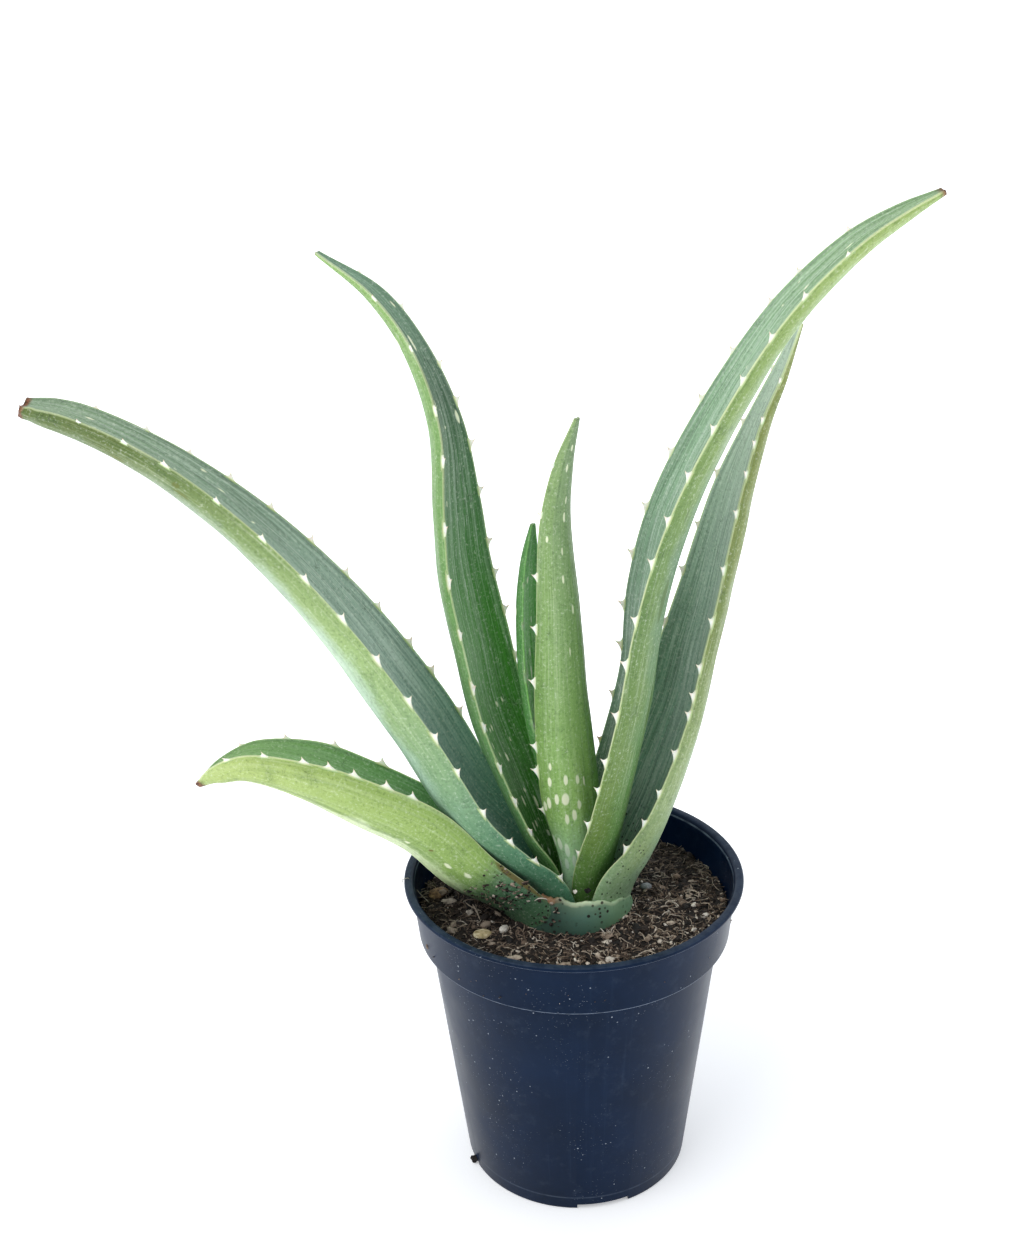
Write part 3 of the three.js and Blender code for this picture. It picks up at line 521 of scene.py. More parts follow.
class Finish(Tree):
    """A material: one Principled shader and what drives its colour, roughness and bump."""

    def __init__(self, name, **fixed):
        self.material = bpy.data.materials.new(name)
        self.material.use_nodes = True
        super().__init__(self.material.node_tree)
        self.shader = next(n for n in self.tree.nodes if n.type == "BSDF_PRINCIPLED")
        for key, value in fixed.items():
            self.shader.inputs[key.replace("_", " ")].default_value = value

    def place(self):
        return self.out("ShaderNodeTexCoord", output="Object")

    def attribute(self, name, output="Vector"):
        return self.out("ShaderNodeAttribute", output=output, attribute_name=name)

    def scaled(self, vector, scale):
        return self.out("ShaderNodeMapping", {"Vector": vector, "Scale": scale})

    def noise(self, vector, scale, detail=3.0, roughness=0.55, distortion=0.0):
        return self.out("ShaderNodeTexNoise", {
            "Vector": vector, "Scale": scale, "Detail": detail,
            "Roughness": roughness, "Distortion": distortion,
        }, output="Fac")

    def cells(self, vector, scale, feature="F1"):
        return self.out("ShaderNodeTexVoronoi", {"Vector": vector, "Scale": scale},
                        output="Distance", feature=feature)

    def ramp(self, value, stops):
        node = self.add("ShaderNodeValToRGB", {0: value})
        marks = node.color_ramp.elements
        while len(marks) < len(stops):
            marks.new(0.5)
        for mark, (at, colour) in zip(marks, stops):
            mark.position = at
            mark.color = paint(colour)
        return node.outputs[0]

    def mix(self, part, a, b):
        a, b = (paint(c) if isinstance(c, str) else c for c in (a, b))
        return self.add("ShaderNodeMix", {0: part, 6: a, 7: b}, data_type="RGBA").outputs[2]

    def tint(self, colour, other, value, low, high, most=1.0):
        """Lay another colour over a colour, more of it as a value goes from low to high."""
        return self.mix(self.span(value, low, high, 0.0, most), colour, other)

    def wear(self, colour, roughness=None, height=None, distance=0.0, strength=1.0):
        """Drive the shader by a colour, a roughness and the height of a fine relief."""
        self.tree.links.new(colour, self.shader.inputs["Base Color"])
        if roughness is not None:
            self.tree.links.new(roughness, self.shader.inputs["Roughness"])
        if height is not None:
            bump = {"Height": height, "Distance": distance, "Strength": strength}
            self.tree.links.new(self.out("ShaderNodeBump", bump), self.shader.inputs["Normal"])
        return self.material


class Growth(Tree):
    """A geometry node tree with named inputs that ends in realised, painted geometry."""

    KINDS = {float: "NodeSocketFloat", int: "NodeSocketInt"}

    def __init__(self, name, inputs):
        super().__init__(bpy.data.node_groups.new(name, "GeometryNodeTree"))
        face = self.tree.interface
        face.new_socket("Geometry", in_out="INPUT", socket_type="NodeSocketGeometry")
        for label, default in inputs.items():
            kind = self.KINDS[type(default)]
            face.new_socket(label, in_out="INPUT", socket_type=kind).default_value = default
        face.new_socket("Material", in_out="INPUT", socket_type="NodeSocketMaterial")
        face.new_socket("Geometry", in_out="OUTPUT", socket_type="NodeSocketGeometry")
        self.given = self.tree.nodes.new("NodeGroupInput").outputs

    def named(self, name, kind="FLOAT"):
        return self.out("GeometryNodeInputNamedAttribute", {"Name": name},
                        output="Attribute", data_type=kind)

    def draw(self, low, high, seed, kind="FLOAT"):
        return self.out("FunctionNodeRandomValue", {"Min": low, "Max": high, "Seed": seed},
                        output="Value", data_type=kind)

    def store(self, geometry, name, value, domain="POINT"):
        return self.out("GeometryNodeStoreNamedAttribute", {
            "Geometry": geometry, "Name": name, "Value": value,
        }, data_type="FLOAT", domain=domain)

    def moved(self, geometry, **where):
        """Geometry with its points at a Position, or moved by an Offset."""
        return self.out("GeometryNodeSetPosition", {"Geometry": geometry, **where})

    def ring(self, sides, radius):
        return self.out("GeometryNodeCurvePrimitiveCircle", {"Resolution": sides, "Radius": radius},
                        output="Curve", mode="RADIUS")

    def scattered(self):
        """Random points on the faces of the given mesh that are marked as top."""
        top = self.out("FunctionNodeCompare", {0: self.named("top"), 1: 0.5},
                       operation="GREATER_THAN", data_type="FLOAT")
        return self.out("GeometryNodeDistributePointsOnFaces", {
            "Mesh": self.given["Geometry"], "Selection": top,
            "Density": self.given["Density"], "Seed": self.given["Seed"],
        }, output="Points", distribute_method="RANDOM")

    def copies(self, points, shape, **turns):
        return self.out("GeometryNodeInstanceOnPoints", {
            "Points": points, "Instance": shape, **turns,
        })

    def finish(self, geometry):
        real = self.out("GeometryNodeRealizeInstances", {"Geometry": geometry})
        shaded = self.out("GeometryNodeSetShadeSmooth", {"Geometry": real, "Shade Smooth": True})
        painted = self.out("GeometryNodeSetMaterial", {
            "Geometry": shaded, "Material": self.given["Material"],
        })
        end = self.tree.nodes.new("NodeGroupOutput")
        self.tree.links.new(painted, end.inputs[0])
        return self.tree


def grown(name, base, tree, material, **values):
    """Run a growth tree over a base mesh; returns the grown piece as a plain mesh."""
    piece = placed(name, base)
    modifier = piece.modifiers.new("growth", "NODES")
    modifier.node_group = tree
    values["Material"] = material
    for item in tree.interface.items_tree:
        if item.item_type == "SOCKET" and item.in_out == "INPUT" and item.name in values:
            modifier[item.identifier] = values[item.name]
    baked(piece)
    if not piece.data.polygons:
        raise RuntimeError("nothing grew for " + name)
    return piece


# ---------------------------------------------------------------- leaf shape

def spline(knots, t, centripetal):
    """Points of a smooth curve through the knots at the places t, from 0 to 1."""
    last = len(knots) - 1
    place = np.clip(np.asarray(t, float), 0, 1) * last
    first = np.minimum(place.astype(int), last - 1)
    part = (place - first)[:, None]
    padded = np.vstack([2 * knots[:1] - knots[1:2], knots, 2 * knots[-1:] - knots[-2:-1]])
    a, b, c, d = (padded[first + i] for i in range(4))
    if centripetal:
        ab, bc, cd = (
            np.sqrt(np.linalg.norm(q - p, axis=1))[:, None]
            for p, q in ((a, b), (b, c), (c, d))
        )
        start = ((b - a) / ab - (c - a) / (ab + bc) + (c - b) / bc) * bc
        end = ((c - b) / bc - (d - b) / (bc + cd) + (d - c) / cd) * bc
    else:
        start, end = (c - a) / 2, (d - b) / 2
    square = -3 * b + 3 * c - 2 * start - end
    cube = 2 * b - 2 * c + start + end
    return b + start * part + square * part ** 2 + cube * part ** 3


class LeafPlan:
    """Where any point of one leaf lies; the same rule as in the part's source."""

    NUDGE = 1e-4    # share of the leaf over which its direction is taken

    def __init__(self, leaf):
        rows = np.array(leaf["rows"], float)
        turn = math.radians(leaf["heading"])
        self.leaf = leaf
        self.outward = np.array([math.cos(turn), math.sin(turn), 0])
        self.sideways = np.array([-math.sin(turn), math.cos(turn), 0])
        self.spine = rows[:, :2]
        self.shape = rows[:, 2:]
        self.steps = np.linspace(0, 1, 201)
        hops = np.linalg.norm(np.diff(spline(self.spine, self.steps, True), axis=0), axis=1)
        self.lengths = np.concatenate([[0], np.cumsum(hops)])
        self.length = self.lengths[-1]

    def at_length(self, run):
        return np.interp(run, self.lengths, self.steps)

    def stations(self, t):
        """The frame and section of the leaf at each place t."""
        t = np.atleast_1d(np.asarray(t, float))
        spot = spline(self.spine, t, True)
        tangent = (spline(self.spine, np.minimum(t + self.NUDGE, 1), True)
                   - spline(self.spine, np.maximum(t - self.NUDGE, 0), True))
        tangent /= np.linalg.norm(tangent, axis=1)[:, None]
        up_axis = np.array([0.0, 0.0, 1.0])
        width, thick, curl, roll = spline(self.shape, t, False).T
        curl, roll = np.radians(curl), np.radians(roll)[:, None]
        lift = tangent[:, :1] * up_axis - tangent[:, 1:] * self.outward
        return {
            "middle": spot[:, :1] * self.outward + spot[:, 1:] * up_axis,
            "side": self.sideways * np.cos(roll) + lift * np.sin(roll),
            "up": lift * np.cos(roll) - self.sideways * np.sin(roll),
            "curl": curl, "radius": width / (2 * curl), "thick": thick, "width": width,
        }


def thickness_at(station, s):
    edge = np.minimum(EDGE_THICKNESS, station["thick"] * 0.8)[:, None]
    full = (1 - np.abs(s) ** BULGE_POWER) ** BULGE_ROUND
    return edge + (station["thick"][:, None] - edge) * full


def section_points(station, s, depth):
    """Points of each station's section; s runs from -1 to 1 across it."""
    angle = s * station["curl"][:, None]
    reach = station["radius"][:, None] + depth
    return (
        station["middle"][:, None]
        + station["side"][:, None] * (reach * np.sin(angle))[..., None]
        + station["up"][:, None] * (station["radius"][:, None] - reach * np.cos(angle))[..., None]
    )


def rim_outwards(station, edge, turn=0.0):
    """The way that a margin faces, or that way turned in over the upper face."""
    angle = (station["curl"] + turn)[:, None]
    return station["side"] * edge * np.cos(angle) + station["up"] * np.sin(angle)


def leaf_ring(spans):
    """The section's points: how far across, and which face or how far round the margin."""
    part = np.linspace(-1, 1, spans + 1)
    across = (part + np.sin(math.pi / 2 * part)) / 2
    turns = np.linspace(0, 1, RIM_ROUND + 2)[1:-1]
    rim = np.ones(RIM_ROUND)
    s = np.concatenate([across, rim, across[::-1], -rim])
    face = np.concatenate([0 * across, turns, 0 * across + 1, 1 - turns])
    return s, face


def wrinkles(plan, t, s, face, run):
    """Small relief along a leaf, mm: soft lengthwise ridges and a slightly uneven skin."""
    seed = plan.leaf["seed"]
    relief = np.zeros(s.shape)
    calm = np.sin(np.clip(t, 0, 1) * math.pi) ** 0.4
    for i in np.ndindex(s.shape):
        ridge = noise.noise(Vector((s[i] * 7, run[i] * 0.012, seed + 3 * face[i])))
        dent = noise.noise(Vector((s[i] * 2, run[i] * 0.05, seed + 9 + 3 * face[i])))
        relief[i] = RIDGES * ridge + DENTS * dent
    return relief * calm


def withered(points, run, plan):
    """A cut and dried leaf end: it draws in and crumples."""
    near = smoothstep(plan.length - plan.leaf["withers"], plan.length, run)
    middle = points.mean(axis=1, keepdims=True)
    drawn = points + (middle - points) * (WITHERED_IN * near)[..., None]
    # Without a seed of its own, this noise takes one from the clock.
    noise.seed_set(plan.leaf["seed"])
    for i in np.ndindex(run.shape):
        if near[i] > 0:
            shake = noise.noise_vector(Vector(drawn[i] * CRUMPLES))
            drawn[i] += np.array(shake) * near[i]
    return drawn


def leaf_marks(leaf, plan, s, face, run, half):
    """How pale each point of a leaf is, from listed and seeded spots, and how scarred."""
    draw = draws_from(leaf["seed"] * 100 + 7)
    spots = list(leaf["pale"])
    for faces, low, high, count, thin, fat in leaf["spots"]:
        for _ in range(count):
            side = {"upper": 0, "under": 1}.get(faces, int(draw() < 0.5))
            up = plan.length * (low + (high - low) * draw())
            wide = thin + (fat - thin) * draw()
            spots.append((side, -0.85 + 1.7 * draw(), up, wide * 0.7, wide * (1.6 + 1.4 * draw())))
    marks = []
    for places in (spots, leaf["scars"]):
        shine = np.zeros(s.shape)
        for side, across, up, wide, tall in places:
            off = ((s - across) * half / wide) ** 2 + ((run - up) / tall) ** 2
            near = np.where(np.abs(face - side) < 0.5, np.exp(-(off ** 1.6)), 0)
            shine = np.maximum(shine, near)
        marks.append(shine)
    return marks


def leaf_mesh(leaf):
    """A leaf's skin with its own map: across, along (in centimetres) and which face.

    Its marks are the distance from the margin in millimetres, pale spots and scars.
    """
    plan = LeafPlan(leaf)
    count = int(plan.length / STATION_STEP * leaf["fine"])
    line = np.linspace(0, plan.length - END_SHORT, count)
    t = plan.at_length(line)
    station = plan.stations(t)
    ring_s, ring_face = leaf_ring(int(ACROSS * leaf["fine"]))
    width = len(ring_s)
    s, face, run, place = (
        np.broadcast_to(v, (count, width)) for v in (ring_s, ring_face, line[:, None], t[:, None])
    )
    thick = thickness_at(station, s)
    on_rim = np.abs(s) >= 1
    relief = wrinkles(plan, place, s, face, run) * (1 - np.abs(s) ** 6)
    cover = np.minimum(RELIEF_SHARE * thick, RELIEF_MOST) / RELIEF_MOST
    depth = face * thick + np.where(on_rim, 0, (2 * face - 1) * relief * cover)
    points = section_points(station, s, depth)
    # The margin is rounded off between the two faces.
    swell = np.where(on_rim, np.sin(np.clip(face, 0, 1) * math.pi) * 0.5 * thick, 0)
    for edge in (-1, 1):
        outwards = rim_outwards(station, edge)[:, None]
        points = points + np.where(s == edge, swell, 0)[..., None] * outwards
    if leaf["withers"]:
        points = withered(points, run, plan)
    points[..., 2] = np.maximum(points[..., 2], LEAF_FOOT_Z)
    ends = [points[0].mean(axis=0), points[-1].mean(axis=0)]
    piece = mesh_object(leaf["name"] + "_skin", np.vstack([points.reshape(-1, 3), ends]),
                        capped_faces(count, width))
    leaf_map = np.stack([s, run / 10, face], axis=-1).reshape(-1, 3)
    tip_map = [0, plan.length / 10, 0.5]
    store(piece.data, "leaf_map", np.vstack([leaf_map, [0, 0, 0.5], tip_map]))
    half = station["width"][:, None] / 2
    marks = np.stack([(1 - np.abs(s)) * half, *leaf_marks(leaf, plan, s, face, run, half)], axis=-1)
    store(piece.data, "leaf_marks", np.vstack([marks.reshape(-1, 3), np.zeros((2, 3))]))
    return piece


def sheath_mesh(leaf):
    """The lowest leaf's foot, which closes round the plant, with a dry ragged rim."""
    plan = leaf["sheath"]
    away = np.linspace(-1, 1, SHEATH_TURNS)
    angle = np.radians(leaf["heading"] + away * plan["reach"])
    ragged = 0.5 * np.sin(9 * angle) + 0.3 * np.sin(17 * angle + 1)
    fallen = plan["fall"] * np.maximum(0, (np.abs(away) - 0.3) / 0.7) ** 2
    top = plan["top"] - fallen - plan["dip"] * np.exp(-((away / 0.15) ** 2)) + ragged
    torn = smoothstep(0.14, 0.2, away) * (1 - smoothstep(0.42, 0.5, away))
    rises = [i / (SHEATH_RISES - 1) for i in range(SHEATH_RISES)]
    points = []
    for k in range(SHEATH_TURNS):
        fray = (0.25 + 0.7 * torn[k]) * noise.noise(Vector((angle[k] * 14, 3.1, 0)))
        blend = 1 - smoothstep(0.15, 0.5, abs(away[k]))
        tall = top[k] - 0.3 + fray - LEAF_FOOT_Z
        wall = []
        for part in rises:
            swell = 0.35 * noise.noise(Vector((angle[k] * 3, part * 2, 7))) + 2.2 * blend
            outer = plan["radius"] + plan["thickness"] * (1 - 0.5 * part ** 4) + swell
            wall.append((outer, LEAF_FOOT_Z + tall * part))
        for part in (1 - rise for rise in rises):
            inner = plan["radius"] + 0.2 * plan["thickness"] * part ** 3
            wall.append((inner, LEAF_FOOT_Z + tall * part + 0.25 * part))
        points += [(r * math.cos(angle[k]), r * math.sin(angle[k]), z) for r, z in wall]
    ring = 2 * SHEATH_RISES
    faces = tube_faces(SHEATH_TURNS, ring)
    faces.append(tuple(range(ring)))
    faces.append(tuple((SHEATH_TURNS - 1) * ring + i for i in reversed(range(ring))))
    piece = mesh_object("leaf_low_left_sheath", points, faces)
    height = np.tile(np.concatenate([rises, rises[::-1]]), SHEATH_TURNS)
    face = np.tile(np.repeat([1.0, 0.0], SHEATH_RISES), SHEATH_TURNS)
    store(piece.data, "leaf_map", np.stack([np.repeat(away, ring), height, face], axis=-1))
    return piece


# ---------------------------------------------------------------- teeth

def tooth_places(leaf, plan, edge):
    """Where the teeth of one edge stand and how large they are, as in the part's source."""
    draw = draws_from(leaf["seed"] * 10 + edge)
    for run in leaf["teeth"][0 if edge < 0 else 1]:
        swell = math.sin(math.pi * (run / plan.length) ** 0.8)
        play = 1 + TOOTH_PLAY * (2 * draw() - 1)
        yield float(plan.at_length(run)), (TOOTH_END_SIZE + TOOTH_MID_GAIN * swell) * play


def teeth_base(leaf):
    """Points on both margins, with the way each tooth stands and leans and its size."""
    plan = LeafPlan(leaf)
    points, outs, towards, sizes = [], [], [], []
    for edge in (-1, 1):
        for t, size in tooth_places(leaf, plan, edge):
            station = plan.stations([t - TOOTH_NEAR, t, t + TOOTH_NEAR])
            s = np.full((3, 1), float(edge))
            margin = section_points(station, s, thickness_at(station, s) / 2)[:, 0]
            outwards = rim_outwards(station, edge, math.radians(leaf["tooth_turn"]))[1]
            toward = margin[2] - margin[0]
            toward /= np.linalg.norm(toward)
            outwards = outwards - toward * outwards.dot(toward)
            points.append(margin[1])
            outs.append(outwards / np.linalg.norm(outwards))
            towards.append(toward)
            sizes.append(size)
    return bare_mesh(leaf["name"] + "_teeth", points, out=outs, toward=towards, size=sizes)


def tooth_tree():
    """Grows one curved, flattened tooth on every point."""
    tree = Growth("Aloe teeth", {
        "Height": TOOTH_HEIGHT * MM, "Length": TOOTH_SPREAD * MM,
        "Thickness": TOOTH_THICKNESS * MM, "Sunk": TOOTH_SUNK * MM, "Lean": TOOTH_LEAN,
    })
    cone = tree.out("GeometryNodeMeshCone", {
        "Vertices": 12, "Side Segments": 9, "Fill Segments": 1,
        "Radius Top": 0.0, "Radius Bottom": 0.5, "Depth": 1.0,
    }, output="Mesh", fill_type="TRIANGLE_FAN")
    x, y, z = tree.split(tree.out("GeometryNodeInputPosition"))
    # The flanks are hollow: wide at the foot, slim above, and the point leans to the leaf's tip.
    fall = tree.maths("SUBTRACT", 1.0, z)
    slim = tree.plus(0.22, tree.times(0.78, tree.power(fall, 3.0)))
    lean = tree.times(tree.given["Lean"], tree.power(z, 1.6))
    bent = tree.join(tree.plus(tree.times(x, slim), lean), tree.times(y, tree.power(slim, 0.3)), z)
    tooth = tree.store(tree.moved(cone, Position=bent), "rise", z)
    size, out = tree.named("size"), tree.named("out", "FLOAT_VECTOR")
    scale = tree.join(
        tree.times(tree.given["Length"], size), tree.times(tree.given["Thickness"], size),
        tree.plus(tree.given["Sunk"], tree.times(tree.given["Height"], size)),
    )
    turn = tree.out("FunctionNodeAxesToRotation", {
        "Primary Axis": out, "Secondary Axis": tree.named("toward", "FLOAT_VECTOR"),
    }, primary_axis="Z", secondary_axis="X")
    sunk = tree.stretched(out, tree.times(tree.given["Sunk"], -1.0))
    lowered = tree.moved(tree.given["Geometry"], Offset=sunk)
    return tree.finish(tree.copies(lowered, tooth, Rotation=turn, Scale=scale))


# ---------------------------------------------------------------- leaf finishes

UPPER_STOPS = {3: (0.08, 0.42, 0.95), 4: (0.08, 0.42, 0.75, 0.95)}
UNDER_STOPS = {2: (0.25, 0.98), 3: (0.2, 0.5, 0.88)}


def leaf_skin(leaf):
    """Waxy skin: a lined upper face, a clouded underside, pale margins, spots, a dirty foot."""
    skin = Finish("skin_" + leaf["name"], Subsurface_Weight=0.06, Subsurface_Scale=0.004,
                  Specular_IOR_Level=0.35, Subsurface_Radius=(0.5, 0.9, 0.25))
    across, along, face = skin.split(skin.attribute("leaf_map"))
    rim, spots, scars = skin.split(skin.attribute("leaf_marks"))
    reach = skin.times(along, 10 / LeafPlan(leaf).length)
    place = skin.place()

    def lines(side_scale, long_scale, shift, detail):
        at = skin.join(skin.times(across, side_scale), skin.times(along, long_scale),
                       leaf["seed"] + shift)
        return skin.noise(at, 1.0, detail, 0.6, 0.2)

    def wires(side_scale, shift, thin, most):
        """Long thin lines: where a soft noise, drawn out along the leaf, crosses its middle."""
        off = skin.apart(lines(side_scale, 0.05, shift, 1.0), 0.5)
        return skin.times(skin.span(off, thin, 0.3 * thin), most)

    broad = lines(8.0, 0.14, 0.0, 4.0)
    fine = lines(30.0, 0.25, 3.0, 3.0)
    dashes = lines(34.0, 0.9, 6.0, 1.0)
    clouds = skin.noise(place, 60.0, 5.0, 0.6)
    grains = skin.noise(place, 1000.0, 4.0, 0.7)
    patches = skin.noise(place, 110.0, 3.0, 0.6)

    streaks = leaf["streaks"]
    upper = skin.ramp(reach, list(zip(UPPER_STOPS[len(leaf["upper"])], leaf["upper"])))
    pale, dark = skin.mix(0.4, upper, "#e2ede2"), skin.mix(0.45, upper, "#152f20")
    for stripe, value, low, high, most in (
        (pale, broad, 0.50, 0.62, 0.5), (dark, broad, 0.49, 0.38, 0.6),
        (pale, fine, 0.55, 0.61, 0.45), (dark, fine, 0.46, 0.40, 0.55),
    ):
        upper = skin.tint(upper, stripe, value, low, high, most * streaks)
    upper = skin.mix(wires(8.0, 12.0, 0.022, 0.6 * streaks), upper, pale)
    upper = skin.mix(wires(7.0, 15.0, 0.025, 0.5 * streaks), upper, dark)
    upper = skin.tint(upper, "#e6efe4", dashes, 0.72, 0.75, 0.7)
    shade = skin.times(skin.span(rim, 0.5, 0.8), skin.span(rim, 2.2, 1.2))
    upper = skin.mix(skin.times(shade, 0.5), upper, dark)

    stops = UNDER_STOPS[len(leaf["under"])]
    belly, margin = (skin.ramp(reach, list(zip(stops, row))) for row in zip(*leaf["under"]))
    shift = skin.times(skin.maths("SUBTRACT", clouds, 0.5), 0.8)
    wide = skin.plus(skin.maths("ABSOLUTE", across), shift)
    under = skin.tint(belly, margin, wide, *leaf["split"])
    deep, light = skin.mix(0.5, under, "#2f5f2c"), skin.mix(0.5, under, "#eaf3d8")
    under = skin.tint(under, deep, patches, 0.52, 0.7, 0.4)
    under = skin.tint(under, deep, broad, 0.48, 0.36, 0.3)
    under = skin.tint(under, light, fine, 0.55, 0.66, 0.3)
    under = skin.mix(wires(4.0, 18.0, 0.03, 0.25), under, deep)
    under = skin.mix(wires(5.0, 21.0, 0.02, 0.16), under, light)

    below = skin.span(face, 0.3, 0.7)
    colour = skin.mix(below, upper, under)
    # A darker line painted along the underside's fold: painted shade in the crease.
    if leaf["crease_shade"] is not None:
        fold_shade = skin.times(skin.span(skin.apart(across, leaf["crease_shade"]), 0.05, 0.01),
                          skin.span(reach, 0.2, 0.35, 0.0, 0.5))
        colour = skin.mix(skin.times(fold_shade, below), colour, deep)
    near_foot = skin.span(reach, *leaf["foot_reach"], 0.0, 0.85)
    colour = skin.mix(near_foot, colour, leaf["foot"])
    colour = skin.tint(colour, skin.mix(0.6, colour, "#f2f7e8"), grains, 0.55, 0.66, 0.4)
    colour = skin.tint(colour, skin.mix(0.6, colour, "#1d3a1c"), grains, 0.46, 0.36, 0.5)
    # Fine cracks in a few patches.
    crack = skin.span(skin.cells(place, 430.0, "DISTANCE_TO_EDGE"), 0.05, 0.015)
    crack = skin.times(crack, skin.span(patches, 0.6, 0.68, 0.0, 0.5))
    colour = skin.mix(crack, colour, skin.mix(0.7, colour, "#16280f"))
    colour = skin.tint(colour, skin.mix(near_foot, "#eef3d2", "#d2f2e2"), spots, 0.3, 0.7, 0.85)

    # A thin cream line along the margin, from where the leaf leaves the stem.
    line = skin.times(skin.span(rim, 0.3, 0.05), skin.span(face, 0.95, 0.55))
    line = skin.times(line, skin.span(along, 1.2, 2.2, 0.0, leaf["line"]))
    colour = skin.mix(line, colour, "#d8e2ae")
    hurt = skin.plus(scars, skin.times(clouds, 0.4))
    colour = skin.tint(colour, leaf["scar"], hurt, 0.45, 0.9, 0.8)
    low = skin.plus(reach, skin.times(clouds, -0.3))
    dirty = skin.times(skin.span(skin.cells(place, 520.0), 0.24, 0.15),
                       skin.span(low, 0.10, -0.02, 0.0, leaf["dirt"]))
    colour = skin.mix(dirty, colour, "#1a120c")
    withers = skin.ramp(grains, [(0.35, "#3a1a10"), (0.6, "#8a5a38")])
    colour = skin.tint(colour, withers, skin.plus(reach, skin.times(clouds, 0.01)), *leaf["dry"])

    grain = skin.plus(skin.times(fine, 0.8), skin.times(grains, 0.35))
    return skin.wear(colour, skin.span(clouds, 0.3, 0.7, 0.38, 0.55),
                     skin.maths("SUBTRACT", grain, crack), 0.00025, 0.6)


def sheath_skin():
    """The lowest leaf's foot: dark bluish green, dirty, with a dry pale and brown rim."""
    skin = Finish("skin_sheath", Subsurface_Weight=0.05, Subsurface_Scale=0.004)
    away, height, _ = skin.split(skin.attribute("leaf_map"))
    place = skin.place()
    clouds = skin.noise(place, 60.0, 5.0, 0.62)
    grain = skin.noise(place, 900.0, 3.0, 0.6)
    colour = skin.ramp(height, [
        (0.0, "#1b2f28"), (0.3, "#3f6254"), (0.72, "#6a9482"), (0.92, "#83a78c"), (0.96, "#cfe2bc"),
    ])
    colour = skin.tint(colour, "#7fa878", away, 0.55, 0.8, 0.6)
    colour = skin.tint(colour, "#2b4a3c", clouds, 0.5, 0.68, 0.6)
    # A darker band on the foot, from its left round to its front.
    darker_band = skin.times(skin.span(away, 0.05, 0.2), skin.span(away, 0.6, 0.42, 0.0, 0.5))
    colour = skin.mix(darker_band, colour, "#1a2c22")
    # Dry brown skin on the rim's left half, as the old leaf foot tears there.
    brown = skin.times(skin.span(height, 0.9, 0.95), skin.span(away, 0.46, 0.38))
    colour = skin.mix(brown, colour, skin.ramp(clouds, [(0.35, "#4a2618"), (0.65, "#b48c68")]))
    specks = skin.times(skin.span(skin.cells(place, 420.0), 0.3, 0.2), skin.span(clouds, 0.4, 0.55))
    colour = skin.mix(specks, colour, "#1d140d")
    return skin.wear(colour, skin.span(clouds, 0.3, 0.7, 0.45, 0.7), grain, 0.0003, 0.5)


def tooth_skin(leaf):
    """Cream horn with a green foot, as far as the leaf's teeth are cream."""
    skin = Finish("skin_teeth_" + leaf["name"], Subsurface_Weight=0.15, Subsurface_Scale=0.002)
    patch = skin.noise(skin.place(), 700.0, 2.0)
    colour = skin.ramp(skin.attribute("rise", "Fac"), [
        (0.0, "#9ab873"), (0.12, "#bccd95"), (0.22, "#eaeed0"), (0.45, "#fbfaf3"),
        (0.97, "#ead6b8"),
    ])
    colour = skin.tint(colour, "#cfd6a0", patch, 0.55, 0.7, 0.3)
    colour = skin.mix(1 - leaf["horn"], colour, "#6aa856")
    return skin.wear(colour, skin.span(patch, 0.3, 0.7, 0.3, 0.45), patch, 0.0001, 0.4)


def stem_skin():
    skin = Finish("skin_stem")
    clouds = skin.noise(skin.place(), 90.0, 4.0)
    colour = skin.ramp(clouds, [(0.3, "#4a4a26"), (0.7, "#8a8d54")])
    return skin.wear(colour, skin.span(clouds, 0.3, 0.7, 0.55, 0.75), clouds, 0.0006, 0.6)


# ---------------------------------------------------------------- pot

def rounded(profile, radius, steps=3):
    """A profile with its corners rounded by at most radius."""
    points = [np.array(p, float) for p in profile]
    out = [points[0]]
    for before, corner, after in zip(points, points[1:], points[2:]):
        to_before, to_after = before - corner, after - corner
        reach = min(radius, 0.4 * np.linalg.norm(to_before), 0.4 * np.linalg.norm(to_after))
        start = corner + to_before / np.linalg.norm(to_before) * reach
        end = corner + to_after / np.linalg.norm(to_after) * reach
        for k in range(steps + 1):
            part = k / steps
            out.append((1 - part) ** 2 * start + 2 * part * (1 - part) * corner + part ** 2 * end)
    out.append(points[-1])
    return out


